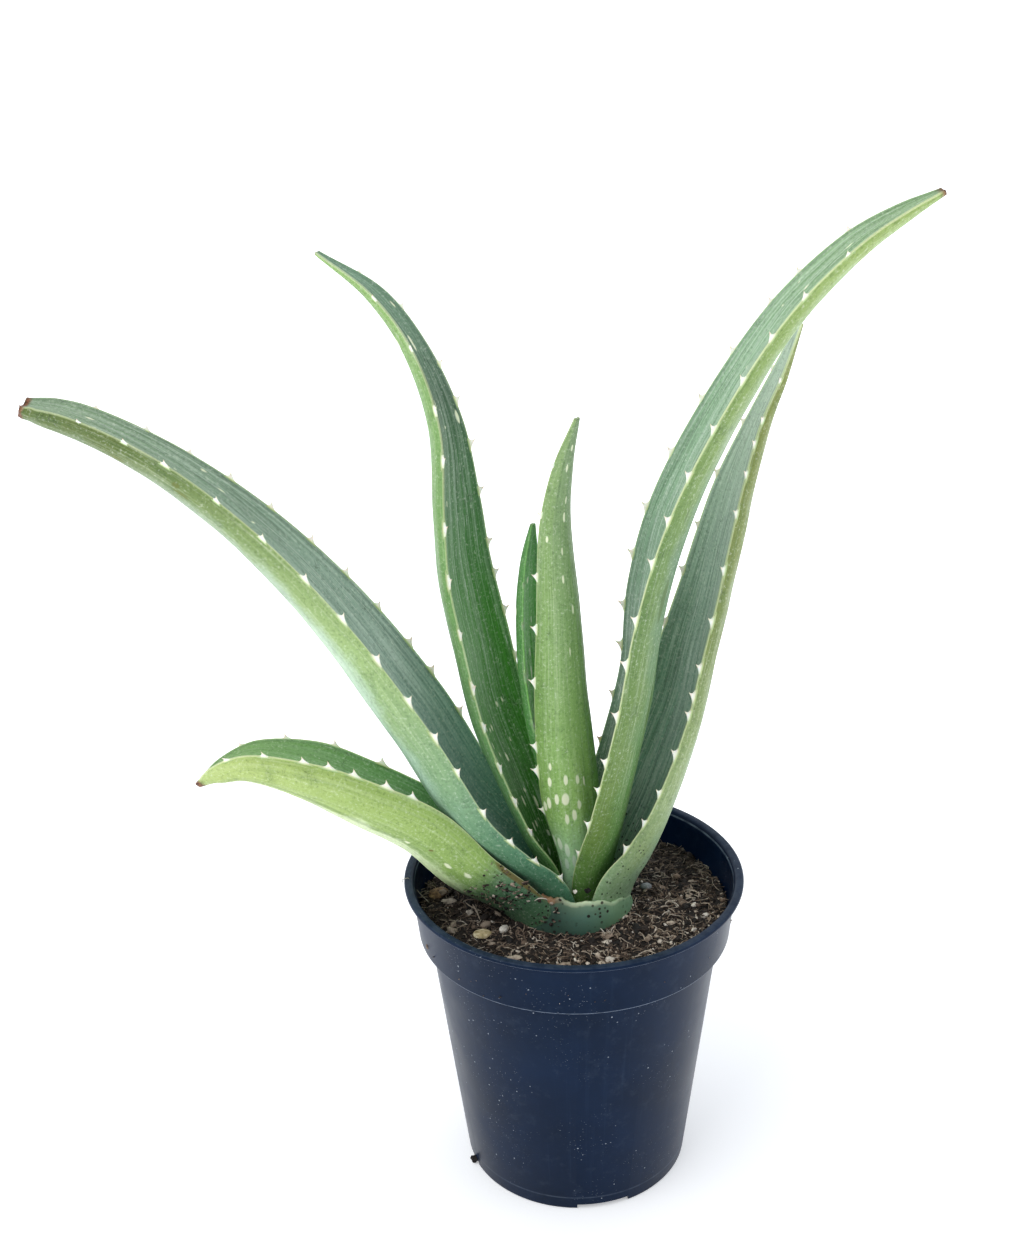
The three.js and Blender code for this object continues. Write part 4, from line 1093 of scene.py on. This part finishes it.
def pot_profile():
    wall = POT_WALL
    lip_under = POT_HEIGHT - LIP_DROP
    second_step = COLLAR_FOOT_Z - COLLAR_STEP
    outside = [
        (PAD_RADIUS, 0), (PAD_RADIUS + 2, FLOOR_RISE), (FOOT_RADIUS - 1.5, FLOOR_RISE),
        (FOOT_RADIUS - 1.3, 0), (FOOT_RADIUS - 0.4, 0), (FOOT_RADIUS, 0.5),
        (BODY_TOP_RADIUS, second_step), (BODY_TOP_RADIUS + 1.2, second_step + 0.4),
        (BODY_TOP_RADIUS + 1.4, COLLAR_FOOT_Z - 0.4), (COLLAR_FOOT_RADIUS - 0.4, COLLAR_FOOT_Z),
        (COLLAR_FOOT_RADIUS, COLLAR_FOOT_Z + 0.5), (COLLAR_TOP_RADIUS, lip_under - 0.4),
        (RIM_RADIUS - 0.4, lip_under), (RIM_RADIUS, lip_under + 0.4),
        (RIM_RADIUS, POT_HEIGHT - 0.4), (RIM_RADIUS - 0.5, POT_HEIGHT),
    ]
    inside = [
        (COLLAR_TOP_RADIUS + 0.2, POT_HEIGHT), (COLLAR_TOP_RADIUS - 0.6, POT_HEIGHT - 0.6),
        (COLLAR_TOP_RADIUS - wall, lip_under - 1),
        (COLLAR_FOOT_RADIUS - wall, COLLAR_FOOT_Z + wall),
        (BODY_TOP_RADIUS - wall, COLLAR_FOOT_Z + wall - 0.4),
        (FOOT_RADIUS - wall + 0.3, FLOOR_RISE + wall + 1.5),
        (FOOT_RADIUS - wall - 1.2, FLOOR_RISE + wall), (PAD_RADIUS + 1.4, FLOOR_RISE + wall),
        (PAD_RADIUS - 0.6, wall),
    ]
    return [(0, 0), *outside, *inside, (0, wall)]


def turned(name, profile, segments):
    """A profile of radius and height turned round the Z axis, closed at both poles."""
    points = []
    for radius, z in profile[1:-1]:
        for i in range(segments):
            angle = 2 * math.pi * i / segments
            points.append((radius * math.cos(angle), radius * math.sin(angle), z))
    points += [(0, 0, profile[0][1]), (0, 0, profile[-1][1])]
    return mesh_object(name, points, capped_faces(len(profile) - 2, segments, flip=True))


def pot_cutter():
    """The drain holes and the notches in the foot, as one object to cut with."""
    cutter = bmesh.new()
    for i in range(DRAIN_HOLES):
        angle = (i + 0.5) / DRAIN_HOLES * 2 * math.pi
        spot = Vector((math.cos(angle), math.sin(angle), 0)) * DRAIN_CIRCLE * MM
        spot.z = FLOOR_RISE * MM
        bmesh.ops.create_cone(cutter, cap_ends=True, segments=DRAIN_SIDES,
                              radius1=DRAIN_RADIUS * MM, radius2=DRAIN_RADIUS * MM,
                              depth=CUT_DEPTH * MM,
                              matrix=Matrix.Translation(spot))
    for i in range(NOTCHES):
        angle = math.radians(NOTCH_FIRST_ANGLE + i * 360 / NOTCHES)
        size = Matrix.Diagonal((CUT_DEPTH * MM, NOTCH_WIDTH * MM, 2 * NOTCH_HEIGHT * MM, 1))
        place = Matrix.Rotation(angle, 4, "Z") @ Matrix.Translation((FOOT_RADIUS * MM, 0, 0))
        bmesh.ops.create_cube(cutter, size=1, matrix=place @ size)
    mesh = bpy.data.meshes.new("cutter")
    cutter.to_mesh(mesh)
    cutter.free()
    return placed("cutter", mesh)


def pot_plastic():
    """Dark blue-black moulded plastic: satin, faintly scuffed and dusty, with painted highlight
    lines along its edges.
    """
    plastic = Finish("pot_plastic", Specular_IOR_Level=0.1, Specular_Tint=(0.62, 0.82, 1.0, 1.0))
    place = plastic.place()
    x, y, z = plastic.split(place)
    clouds = plastic.noise(place, 30.0, 4.0, 0.6)
    colour = plastic.ramp(clouds, [(0.3, "#04142b"), (0.7, "#0a1e3a")])
    # Faint mould streaks run down the wall.
    turn = plastic.maths("ARCTAN2", y, x)
    streak_at = plastic.join(plastic.times(turn, 22.0), plastic.times(z, 9.0), 0.0)
    streaks = plastic.noise(streak_at, 1.0, 4.0, 0.6)
    colour = plastic.tint(colour, "#3d5474", streaks, 0.56, 0.75, 0.08)
    # Dust lies in fine specks all over, thicker where the collar is scuffed.
    patchy = plastic.span(plastic.noise(place, 45.0, 2.0), 0.46, 0.62)
    for spot, reach in SCUFFS:
        away = plastic.out("ShaderNodeVectorMath", {0: place, 1: tuple(c * MM for c in spot)},
                           output="Value", operation="DISTANCE")
        scuffed = plastic.span(away, reach * MM, 0.3 * reach * MM, 0.0, 1.6)
        patchy = plastic.maths("MAXIMUM", patchy, scuffed)
    specks = plastic.span(plastic.cells(place, 300.0), 0.1, 0.05)
    flecks = plastic.span(plastic.cells(plastic.scaled(place, (1.0, 1.0, 2.2)), 640.0), 0.13, 0.08)
    dust = plastic.times(plastic.plus(specks, plastic.times(flecks, 0.45)), patchy, True)
    colour = plastic.mix(plastic.times(dust, 0.7), colour, "#b9c3cf")
    film = plastic.noise(place, 160.0, 5.0, 0.7)
    colour = plastic.tint(colour, "#6d7b8d", film, 0.52, 0.75, 0.06)
    # Pale lines are painted along the moulded edges and round a faint ring near the foot: painted
    # highlights, partly rubbed wear.
    highlight_wear_noise = plastic.noise(place, 220.0, 4.0, 0.7)
    for height, strength in EDGE_HIGHLIGHTS_AND_WEAR:
        edge = plastic.times(plastic.span(plastic.apart(z, height * MM), 0.5 * MM, 0.15 * MM),
                             plastic.span(highlight_wear_noise, 0.35, 0.6, 0.4 * strength, strength))
        colour = plastic.mix(edge, colour, "#8d9db2")
    grain = plastic.noise(place, 700.0, 3.0, 0.6)
    return plastic.wear(colour, plastic.span(clouds, 0.35, 0.7, 0.28, 0.38),
                        plastic.plus(plastic.times(grain, 0.2), dust), 0.0001, 0.5)


# ---------------------------------------------------------------- soil

def soil_height(x, y):
    """The soil's surface, mm; the same rule as in the part's source."""
    draw = draws_from(SOIL_SEED)
    total = 0.0
    for i in range(SOIL_WAVES):
        angle = draw() * math.pi
        phase = draw() * 2 * math.pi
        along = x * math.cos(angle) + y * math.sin(angle)
        total += np.sin(along / (38 - 4 * i) * 2 * math.pi + phase)
    relief = total / math.sqrt(SOIL_WAVES) * SOIL_RELIEF * 0.6
    away = (np.hypot(x, y) - STEM_TOP_RADIUS) / SOIL_MOUND_REACH
    return SOIL_Z + SOIL_MOUND * np.exp(-(away ** 2)) + relief


def soil_mesh():
    """The bed of peat: a lumpy top over the same sides and floor as the solid."""
    floor = FLOOR_RISE + POT_WALL + SOIL_FIT
    ledge = COLLAR_FOOT_Z + POT_WALL + SOIL_FIT
    profile = [
        (0, POT_WALL + SOIL_FIT), (PAD_RADIUS - 1, POT_WALL + SOIL_FIT), (PAD_RADIUS + 1, floor),
        (FOOT_RADIUS - POT_WALL - 1.6, floor), (FOOT_RADIUS - POT_WALL - 0.1, floor + 1.5),
        (BODY_TOP_RADIUS - POT_WALL - SOIL_FIT, ledge - 0.4),
        (COLLAR_FOOT_RADIUS - POT_WALL - SOIL_FIT, ledge),
        *[(r, SOIL_Z) for r in np.linspace(SOIL_OUTER, SOIL_INNER, SOIL_RINGS)], (0, SOIL_Z),
    ]
    piece = turned("soil_bed", profile, SOIL_SEGMENTS)
    place = np.zeros(len(piece.data.vertices) * 3)
    piece.data.vertices.foreach_get("co", place)
    place = place.reshape(-1, 3) / MM
    top = np.abs(place[:, 2] - SOIL_Z) < 1e-3
    height = soil_height(place[:, 0], place[:, 1])
    for i in np.flatnonzero(top):
        spot = Vector(place[i])
        lumps = noise.fractal(spot * 0.33, 0.8, 2.1, 5)
        grit = noise.noise(spot * 1.7)
        place[i, 2] = height[i] - SOIL_SUNK + SOIL_LUMPS * lumps + SOIL_GRIT * grit
    piece.data.vertices.foreach_set("co", (place * MM).ravel())
    piece.data.update()
    store(piece.data, "top", top)
    return piece


def peat_dark():
    """Damp peat: dark brown with lighter fibres showing through."""
    peat = Finish("peat_dark")
    place = peat.place()
    lumps = peat.noise(place, 260.0, 6.0, 0.7)
    fibre = peat.noise(peat.scaled(place, (1.0, 3.2, 1.0)), 420.0, 4.0, 0.65, 1.4)
    colour = peat.ramp(lumps, [(0.32, "#0a0706"), (0.5, "#1a130f"), (0.68, "#362b24")])
    colour = peat.tint(colour, "#7d644f", fibre, 0.58, 0.72, 0.6)
    return peat.wear(colour, peat.span(lumps, 0.3, 0.7, 0.75, 0.95), lumps, 0.0012, 0.9)


def peat_bits():
    """Loose crumbs and fibres, each with its own tone from near black to tan."""
    peat = Finish("peat_bits")
    place = peat.place()
    patch = peat.noise(place, 900.0, 3.0, 0.6)
    colour = peat.ramp(peat.attribute("tone", "Fac"), [
        (0.0, "#0c0908"), (0.4, "#3e3129"), (0.7, "#8f7b6a"), (0.9, "#ccbdac"), (1.0, "#f0e9df"),
    ])
    colour = peat.tint(colour, "#1b1410", patch, 0.45, 0.7, 0.45)
    # The peat is painted darker on the left and at the back: painted shade under the leaves, and on
    # the left it is also damper.
    x, y, _ = peat.split(place)
    damp_and_shade = peat.maths("MAXIMUM", peat.span(x, -0.012, -0.04, 0.0, 0.4),
                      peat.span(y, 0.0, 0.03, 0.0, 0.55))
    colour = peat.mix(damp_and_shade, colour, "#0d0a09")
    return peat.wear(colour, peat.span(patch, 0.3, 0.7, 0.7, 0.95), patch, 0.0003, 0.7)


def lump_shape(tree):
    """A dented ball of unit radius."""
    ball = tree.out("GeometryNodeMeshIcoSphere", {
        "Radius": 1.0, "Subdivisions": tree.given["Detail"],
    }, output="Mesh")
    dents = tree.out("ShaderNodeTexNoise", {"Scale": 1.1, "Detail": 1.0}, output="Color")
    shift = tree.out("ShaderNodeVectorMath", {0: dents, 1: (-0.5, -0.5, -0.5)}, operation="ADD")
    return tree.moved(ball, Offset=tree.stretched(shift, 1.5))


def crumb_tree():
    """Scatters uneven crumbs over the faces that are marked as top."""
    tree = Growth("Peat crumbs", {
        "Density": 600000.0, "Smallest": 0.0004, "Largest": 0.0012, "Detail": 1, "Seed": 3,
    })
    size = tree.draw(tree.given["Smallest"], tree.given["Largest"], 5)
    shape = tree.draw((0.6, 0.6, 0.4), (1.5, 1.1, 0.9), 8, "FLOAT_VECTOR")
    turn = tree.draw((-0.5, -0.5, 0.0), (0.5, 0.5, 6.28), 9, "FLOAT_VECTOR")
    crumbs = tree.copies(tree.scattered(), lump_shape(tree), Rotation=turn,
                         Scale=tree.stretched(shape, size))
    tone = tree.power(tree.draw(0.0, 1.0, 12), 1.9)
    return tree.finish(tree.store(crumbs, "tone", tone, domain="INSTANCE"))


def fibre_tree():
    """Scatters short bent fibres that lie on the faces marked as top."""
    tree = Growth("Peat fibres", {
        "Density": 200000.0, "Shortest": 0.0015, "Longest": 0.005, "Rise": 0.0003, "Seed": 4,
    })
    lifted = tree.moved(tree.scattered(), Offset=tree.join(0.0, 0.0, tree.given["Rise"]))
    bend = tree.out("GeometryNodeCurveQuadraticBezier", {
        "Resolution": 5,
        "Start": (-0.5, 0.0, 0.0), "Middle": (0.0, 0.3, 0.14), "End": (0.5, 0.0, 0.0),
    })
    length = tree.draw(tree.given["Shortest"], tree.given["Longest"], 6)
    strand = tree.out("GeometryNodeCurveToMesh", {
        "Curve": bend, "Profile Curve": tree.ring(3, 0.045), "Fill Caps": True,
    })
    turn = tree.draw((-0.45, -0.45, 0.0), (0.45, 0.45, 6.28), 9, "FLOAT_VECTOR")
    fibres = tree.copies(lifted, strand, Rotation=turn, Scale=tree.join(length, length, length))
    tone = tree.plus(0.35, tree.times(tree.draw(0.0, 1.0, 12), 0.6))
    return tree.finish(tree.store(fibres, "tone", tone, domain="INSTANCE"))


def littered(base, name, inside, props):
    """Crumbs of peat that stick to the part of a mesh where inside, a test of its map, holds."""
    places = np.zeros(len(base.vertices) * 3, np.float32)
    base.attributes["leaf_map"].data.foreach_get("vector", places)
    store(base, "top", inside(*places.reshape(-1, 3).T))
    loose = peat_bits()
    yield grown(name + "_crumbs", base.copy(), crumb_tree(), loose, Density=props.litter_density,
                Smallest=0.0003, Largest=0.001, Detail=1, Seed=props.litter_seed)
    yield grown(name + "_fibres", base.copy(), fibre_tree(), loose,
                Density=0.6 * props.litter_density, Shortest=0.0015, Longest=0.0045,
                Seed=props.litter_seed)
    base.attributes.remove(base.attributes["top"])


def lump_tree():
    """Puts one dented lump of its own size and tone on every point."""
    tree = Growth("Loose lumps", {"Detail": 3})
    size = tree.named("size", "FLOAT_VECTOR")
    return tree.finish(tree.copies(tree.given["Geometry"], lump_shape(tree), Scale=size))


def strand_tree():
    """Makes a thin round strand along every line, as thick as its points say."""
    tree = Growth("Strands", {"Sides": 6})
    curve = tree.out("GeometryNodeMeshToCurve", {"Mesh": tree.given["Geometry"]})
    return tree.finish(tree.out("GeometryNodeCurveToMesh", {
        "Curve": curve, "Profile Curve": tree.ring(tree.given["Sides"], 1.0),
        "Scale": tree.named("radius"), "Fill Caps": True,
    }))


def lump_base():
    places, sizes, tones = zip(*LUMPS)
    return bare_mesh("loose_lumps", places, size=np.array(sizes) * MM, tone=tones)


def strand_base():
    """The strands' paths, with a tuft of fine fibres that stands up beside the sheath."""
    strands = list(STRANDS)
    draw = draws_from(TUFT_SEED)
    for _ in range(TUFT_STRANDS):
        foot = np.array(TUFT_AT) + [3 * draw() - 1.5, 1.6 * draw() - 0.8, 0]
        lean = np.array([4 * draw() - 2, 2 * draw() - 1.4, 1.6 + 2.4 * draw()])
        bend = np.array([draw() - 0.5, draw() - 0.5, 0.4])
        strands.append((0.11 + 0.07 * draw(), 0.75 + 0.25 * draw(),
                        [foot, foot + lean * 0.5 + bend, foot + lean]))
    points, edges, radii, tones = [], [], [], []
    for radius, tone, path in strands:
        line = spline(np.array(path, float), np.linspace(0, 1, 6 * len(path)), True)
        first = len(points)
        edges += [(first + i, first + i + 1) for i in range(len(line) - 1)]
        points += list(line)
        # Each strand thins a little to both ends.
        radii += list(radius * MM * (1 - 0.5 * np.abs(np.linspace(-1, 1, len(line))) ** 3))
        tones += [tone] * len(line)
    return bare_mesh("loose_strands", points, edges, radius=radii, tone=tones)


def bit_mesh(name, at, size, turn, seed):
    """A rough lump over the same corners as the solid, split finer and roughened."""
    lump = bmesh.new()
    bmesh.ops.create_icosphere(lump, subdivisions=5, radius=1)
    middle = soil_height(at[0], at[1]) + (0.5 - BIT_SUNK) * size[2]
    rotation = Matrix.Rotation(math.radians(turn), 3, "Z")
    for vert in lump.verts:
        way = vert.co.normalized()
        broad = 0.5 + 0.5 * noise.noise(way * 1.6 + Vector((seed, 0, 0)))
        flaky = noise.fractal(way * 5 + Vector((0, seed, 0)), 0.9, 2.0, 4)
        reach = 1 - BIT_ROUGHNESS * 0.85 * broad + BIT_FLAKES * flaky
        spot = Vector((way.x * size[0], way.y * size[1], way.z * size[2])) * 0.5 * reach
        vert.co = (rotation @ spot + Vector((at[0], at[1], middle))) * MM
    mesh = bpy.data.meshes.new(name)
    lump.to_mesh(mesh)
    lump.free()
    shade_smooth(mesh)
    return placed(name, mesh)


def bit_finish(name, dark, mid, light):
    grain = Finish("finish_" + name)
    place = grain.place()
    broad = grain.noise(place, 420.0, 5.0, 0.65)
    fine = grain.noise(grain.scaled(place, (1.0, 4.0, 4.0)), 700.0, 4.0, 0.7)
    colour = grain.ramp(broad, [(0.3, dark), (0.5, mid), (0.68, light)])
    colour = grain.tint(colour, dark, fine, 0.55, 0.72, 0.5)
    return grain.wear(colour, grain.span(broad, 0.3, 0.7, 0.65, 0.9), fine, 0.0004, 0.7)


# ---------------------------------------------------------------- stage

CAMERA_AT = (-0.0195, -0.48987, 0.41612)
CAMERA_PITCH = 22.80      # degrees under the horizon
CAMERA_ROLL = -1.48
CAMERA_FOCUS = 1600 / 1255   # focal length over the picture's height
SENSOR = 36.0
LIGHTS_LOOK_AT = (0, 0, 0.16)
LIGHT_SIZE = 1.2


def camera():
    pitch, roll = math.radians(CAMERA_PITCH), math.radians(CAMERA_ROLL)
    ahead = Vector((0, math.cos(pitch), -math.sin(pitch)))
    right = Vector((1, 0, 0))
    up = right.cross(ahead)
    x_axis = right * math.cos(roll) + up * math.sin(roll)
    y_axis = up * math.cos(roll) - right * math.sin(roll)
    lens = bpy.data.cameras.new("camera")
    lens.sensor_width = SENSOR
    lens.sensor_fit = "AUTO"
    lens.lens = SENSOR * CAMERA_FOCUS
    lens.clip_end = 100
    view = placed("camera", lens)
    turn = Matrix((x_axis, y_axis, -ahead)).transposed().to_4x4()
    view.matrix_world = Matrix.Translation(CAMERA_AT) @ turn
    bpy.context.scene.camera = view


def soft_light(name, at, power, colour):
    """A square soft light that looks at the middle of the plant."""
    lamp = bpy.data.lights.new(name, "AREA")
    lamp.size = LIGHT_SIZE
    lamp.energy = power
    lamp.color = colour
    light = placed(name, lamp)
    light.location = at
    look = Vector(LIGHTS_LOOK_AT) - Vector(at)
    light.rotation_euler = look.to_track_quat("-Z", "Y").to_euler()


def stage_floor(props):
    reach = props.floor_reach
    corners = [(-reach, -reach, 0), (reach, -reach, 0), (reach, reach, 0), (-reach, reach, 0)]
    floor = mesh_object("floor", np.array(corners) / MM, [(0, 1, 2, 3)], smooth=False)
    paper = Finish("studio_paper", Roughness=0.9, Specular_IOR_Level=0.1,
                   Emission_Color=(1.0, 1.0, 1.0, 1.0))
    place = paper.place()
    weave = paper.noise(place, 9.0, 2.0)
    # The paper glows a little, so that it stays white to the horizon and has a pale shadow.
    far = paper.out("ShaderNodeVectorMath", {0: place}, output="Value", operation="LENGTH")
    paper.tree.links.new(paper.span(far, 0.04, 0.5, props.floor_glow, 2.5 * props.floor_glow),
                         paper.shader.inputs["Emission Strength"])
    dressed(floor, paper.wear(paper.ramp(weave, [(0.3, "#f1f4fa"), (0.7, "#f5f7fb")])))


def studio_world(props):
    """Even light, weaker from the front; the backdrop that the camera sees is plain white."""
    world = bpy.data.worlds.new("studio")
    world.use_nodes = True
    nodes = Tree(world.node_tree)
    sky = next(n for n in world.node_tree.nodes if n.type == "BACKGROUND")
    sky.inputs[0].default_value = (0.955, 0.98, 1.0, 1.0)
    x, y, _ = nodes.split(nodes.out("ShaderNodeTexCoord", output="Generated"))
    # Brightness falls from the back to the front, and a little from the left to the right.
    toward = nodes.out("ShaderNodeMath", {0: x, 1: -0.3, 2: y}, operation="MULTIPLY_ADD")
    light = nodes.span(toward, -0.75, 0.25, props.front_light, props.sky_light)
    seen = nodes.out("ShaderNodeLightPath", output="Is Camera Ray")
    strength = nodes.out("ShaderNodeMapRange", {"Value": seen, "To Min": light, "To Max": 1.05})
    world.node_tree.links.new(strength, sky.inputs[1])
    bpy.context.scene.world = world
    bpy.context.scene.view_settings.view_transform = "Standard"


# ---------------------------------------------------------------- settings

class AloeStageSettings(bpy.types.PropertyGroup):
    """The studio's floor and light."""

    floor_reach: bpy.props.FloatProperty(
        name="Floor reach", description="Half the width of the floor",
        default=30.0, min=1.0, subtype="DISTANCE", unit="LENGTH")
    sky_light: bpy.props.FloatProperty(
        name="Sky light", description="Strength of the even light from the back and above",
        default=0.95, min=0.0)
    front_light: bpy.props.FloatProperty(
        name="Front light", description="Strength of the even light from the front",
        default=0.35, min=0.0)
    floor_glow: bpy.props.FloatProperty(
        name="Floor glow", description="How much the floor glows near the pot",
        default=0.36, min=0.0)
    key_power: bpy.props.FloatProperty(
        name="Key light", description="Power of the large soft light on the upper left",
        default=11.0, min=0.0, unit="POWER")


class AloePotSettings(bpy.types.PropertyGroup):
    """The nursery pot."""

    segments: bpy.props.IntProperty(
        name="Segments", description="Steps round the pot", default=224, min=24)
    corner_radius: bpy.props.FloatProperty(
        name="Corner radius", description="Rounding of the moulded corners",
        default=0.0004, min=0.0, subtype="DISTANCE", unit="LENGTH")


class AloeSoilSettings(bpy.types.PropertyGroup):
    """The peat and what lies loose on it."""

    crumb_density: bpy.props.FloatProperty(
        name="Crumbs", description="Crumbs to a square metre", default=520000.0, min=0.0)
    fibre_density: bpy.props.FloatProperty(
        name="Fibres", description="Fibres to a square metre", default=330000.0, min=0.0)
    seed: bpy.props.IntProperty(name="Seed", description="Order of the scatter", default=3)


class AloeLeafSettings(bpy.types.PropertyGroup):
    """The teeth on the leaf margins and the peat on the lowest leaf's foot."""

    litter_density: bpy.props.FloatProperty(
        name="Litter", description="Crumbs to a square metre of the lowest leaf's foot",
        default=260000.0, min=0.0)
    litter_seed: bpy.props.IntProperty(
        name="Litter seed", description="Order of the crumbs on the leaf's foot", default=5)
    tooth_height: bpy.props.FloatProperty(
        name="Tooth height", description="Height of a full-size tooth",
        default=TOOTH_HEIGHT * MM, min=0.0, subtype="DISTANCE", unit="LENGTH")
    tooth_length: bpy.props.FloatProperty(
        name="Tooth length", description="Length of a tooth's foot along the margin",
        default=TOOTH_SPREAD * MM, min=0.0, subtype="DISTANCE", unit="LENGTH")


# ---------------------------------------------------------------- operators

class ALOE_OT_stage(bpy.types.Operator):
    """Set up the camera, the floor and the light"""

    bl_idname = "aloe.stage"
    bl_label = "Studio"

    def execute(self, context):
        props = context.scene.aloe_stage
        camera()
        stage_floor(props)
        studio_world(props)
        soft_light("key", (-0.9, -0.75, 1.4), props.key_power, (1.0, 0.99, 0.97))
        soft_light("side", (1.3, -0.5, 0.9), props.key_power * 0.4, (0.96, 0.98, 1.0))
        return {"FINISHED"}


class ALOE_OT_pot(bpy.types.Operator):
    """Turn the pot and cut its drain holes and foot notches"""

    bl_idname = "aloe.pot"
    bl_label = "Pot"

    def execute(self, context):
        props = context.scene.aloe_pot
        profile = rounded(pot_profile(), props.corner_radius / MM)
        pot = turned("nursery_pot", profile, props.segments)
        cutter = pot_cutter()
        cut = pot.modifiers.new("cut", "BOOLEAN")
        cut.operation = "DIFFERENCE"
        cut.solver = "EXACT"
        cut.object = cutter
        baked(pot)
        bpy.data.objects.remove(cutter)
        if len(pot.data.polygons) < props.segments:
            raise RuntimeError("the pot came out empty")
        shade_smooth(pot.data)
        pot.data.set_sharp_from_angle(angle=math.radians(POT_SHARP))
        dressed(pot, pot_plastic())
        settle(pot, "pot", "pot")
        return {"FINISHED"}


class ALOE_OT_soil(bpy.types.Operator):
    """Lay the bed of peat and scatter its crumbs and fibres"""

    bl_idname = "aloe.soil"
    bl_label = "Soil"

    def execute(self, context):
        props = context.scene.aloe_soil
        bed = dressed(soil_mesh(), peat_dark())
        loose = peat_bits()
        scatter = (
            ("peat_crumbs", crumb_tree, props.crumb_density,
             {"Smallest": 0.00035, "Largest": 0.0009, "Detail": 1}),
            ("peat_lumps", crumb_tree, props.crumb_density * 0.08,
             {"Smallest": 0.0008, "Largest": 0.0019, "Detail": 2}),
            ("peat_fibres", fibre_tree, props.fibre_density, {}),
        )
        pieces = [
            grown(name, bed.data.copy(), tree(), loose,
                  Density=density, Seed=props.seed + i, **sizes)
            for i, (name, tree, density, sizes) in enumerate(scatter)
        ]
        settle(bed, "soil", "soil")
        for piece in pieces:
            settle(piece, "soil")
        return {"FINISHED"}


class ALOE_OT_bits(bpy.types.Operator):
    """Put the chips of bark, wood, perlite and stone in the soil"""

    bl_idname = "aloe.bits"
    bl_label = "Bits in the soil"

    def execute(self, context):
        for name, at, size, turn, seed, slot, colours in BITS:
            piece = bit_mesh(name + "_rough", at, size, turn, seed)
            settle(dressed(piece, bit_finish(name, *colours)), slot, name)
        loose = peat_bits()
        settle(grown("loose_lumps", lump_base(), lump_tree(), loose), "soil")
        settle(grown("loose_strands", strand_base(), strand_tree(), loose), "soil")
        return {"FINISHED"}


class ALOE_OT_stem(bpy.types.Operator):
    """Finish the stem"""

    bl_idname = "aloe.stem"
    bl_label = "Stem"

    def execute(self, context):
        material = stem_skin()
        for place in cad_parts["stem"].material_slots:
            place.material = material
        return {"FINISHED"}


class ALOE_OT_leaves(bpy.types.Operator):
    """Loft the seven leaves and the sheath of the lowest one"""

    bl_idname = "aloe.leaves"
    bl_label = "Leaves"

    def execute(self, context):
        props = context.scene.aloe_leaf
        for leaf in LEAVES:
            skin = dressed(leaf_mesh(leaf), leaf_skin(leaf))
            settle(skin, "leaf", leaf["name"])
            if leaf["sheath"]:
                sheath = dressed(sheath_mesh(leaf), sheath_skin())
                settle(sheath, "leaf")
                litter = [*littered(skin.data, "foot_litter", lambda s, cm, face: (
                    (s > 0.45) & (cm > 1.4) & (cm < 2.8 + 0.8 * s) & (face > 0.5)), props)]
                litter += littered(sheath.data, "sheath_litter", lambda away, height, face: (
                    (away > 0.15) & (away < 0.44) & (height > 0.5) & (face > 0.5)), props)
                for piece in litter:
                    settle(piece, "soil")
        return {"FINISHED"}


class ALOE_OT_teeth(bpy.types.Operator):
    """Grow the teeth along the leaf margins"""

    bl_idname = "aloe.teeth"
    bl_label = "Teeth"

    def execute(self, context):
        props = context.scene.aloe_leaf
        tree = tooth_tree()
        for leaf in LEAVES:
            teeth = grown(leaf["name"] + "_teeth", teeth_base(leaf), tree, tooth_skin(leaf),
                          Height=props.tooth_height, Length=props.tooth_length)
            settle(teeth, "leaf")
        return {"FINISHED"}


class ALOE_PT_panel(bpy.types.Panel):
    """Lists the pieces and their sizes"""

    bl_idname = "ALOE_PT_panel"
    bl_label = "Potted aloe"
    bl_space_type = "VIEW_3D"
    bl_region_type = "UI"
    bl_category = "Aloe"

    def draw(self, context):
        for key in SETTINGS:
            box = self.layout.box()
            settings = getattr(context.scene, key)
            for name in settings.__annotations__:
                box.prop(settings, name)
        for operator in OPERATORS:
            self.layout.operator(operator.bl_idname)


SETTINGS = {
    "aloe_stage": AloeStageSettings,
    "aloe_pot": AloePotSettings,
    "aloe_soil": AloeSoilSettings,
    "aloe_leaf": AloeLeafSettings,
}
OPERATORS = (
    ALOE_OT_stage, ALOE_OT_pot, ALOE_OT_soil, ALOE_OT_bits, ALOE_OT_stem, ALOE_OT_leaves,
    ALOE_OT_teeth,
)


def register():
    for group in (*SETTINGS.values(), *OPERATORS, ALOE_PT_panel):
        bpy.utils.register_class(group)
    for key, group in SETTINGS.items():
        setattr(bpy.types.Scene, key, bpy.props.PointerProperty(type=group))


def unregister():
    for key in SETTINGS:
        delattr(bpy.types.Scene, key)
    for group in reversed((*SETTINGS.values(), *OPERATORS, ALOE_PT_panel)):
        bpy.utils.unregister_class(group)


def main():
    register()
    bpy.ops.aloe.stage()
    bpy.ops.aloe.pot()
    bpy.ops.aloe.soil()
    bpy.ops.aloe.bits()
    bpy.ops.aloe.stem()
    bpy.ops.aloe.leaves()
    bpy.ops.aloe.teeth()


if __name__ == "__main__":
    main()
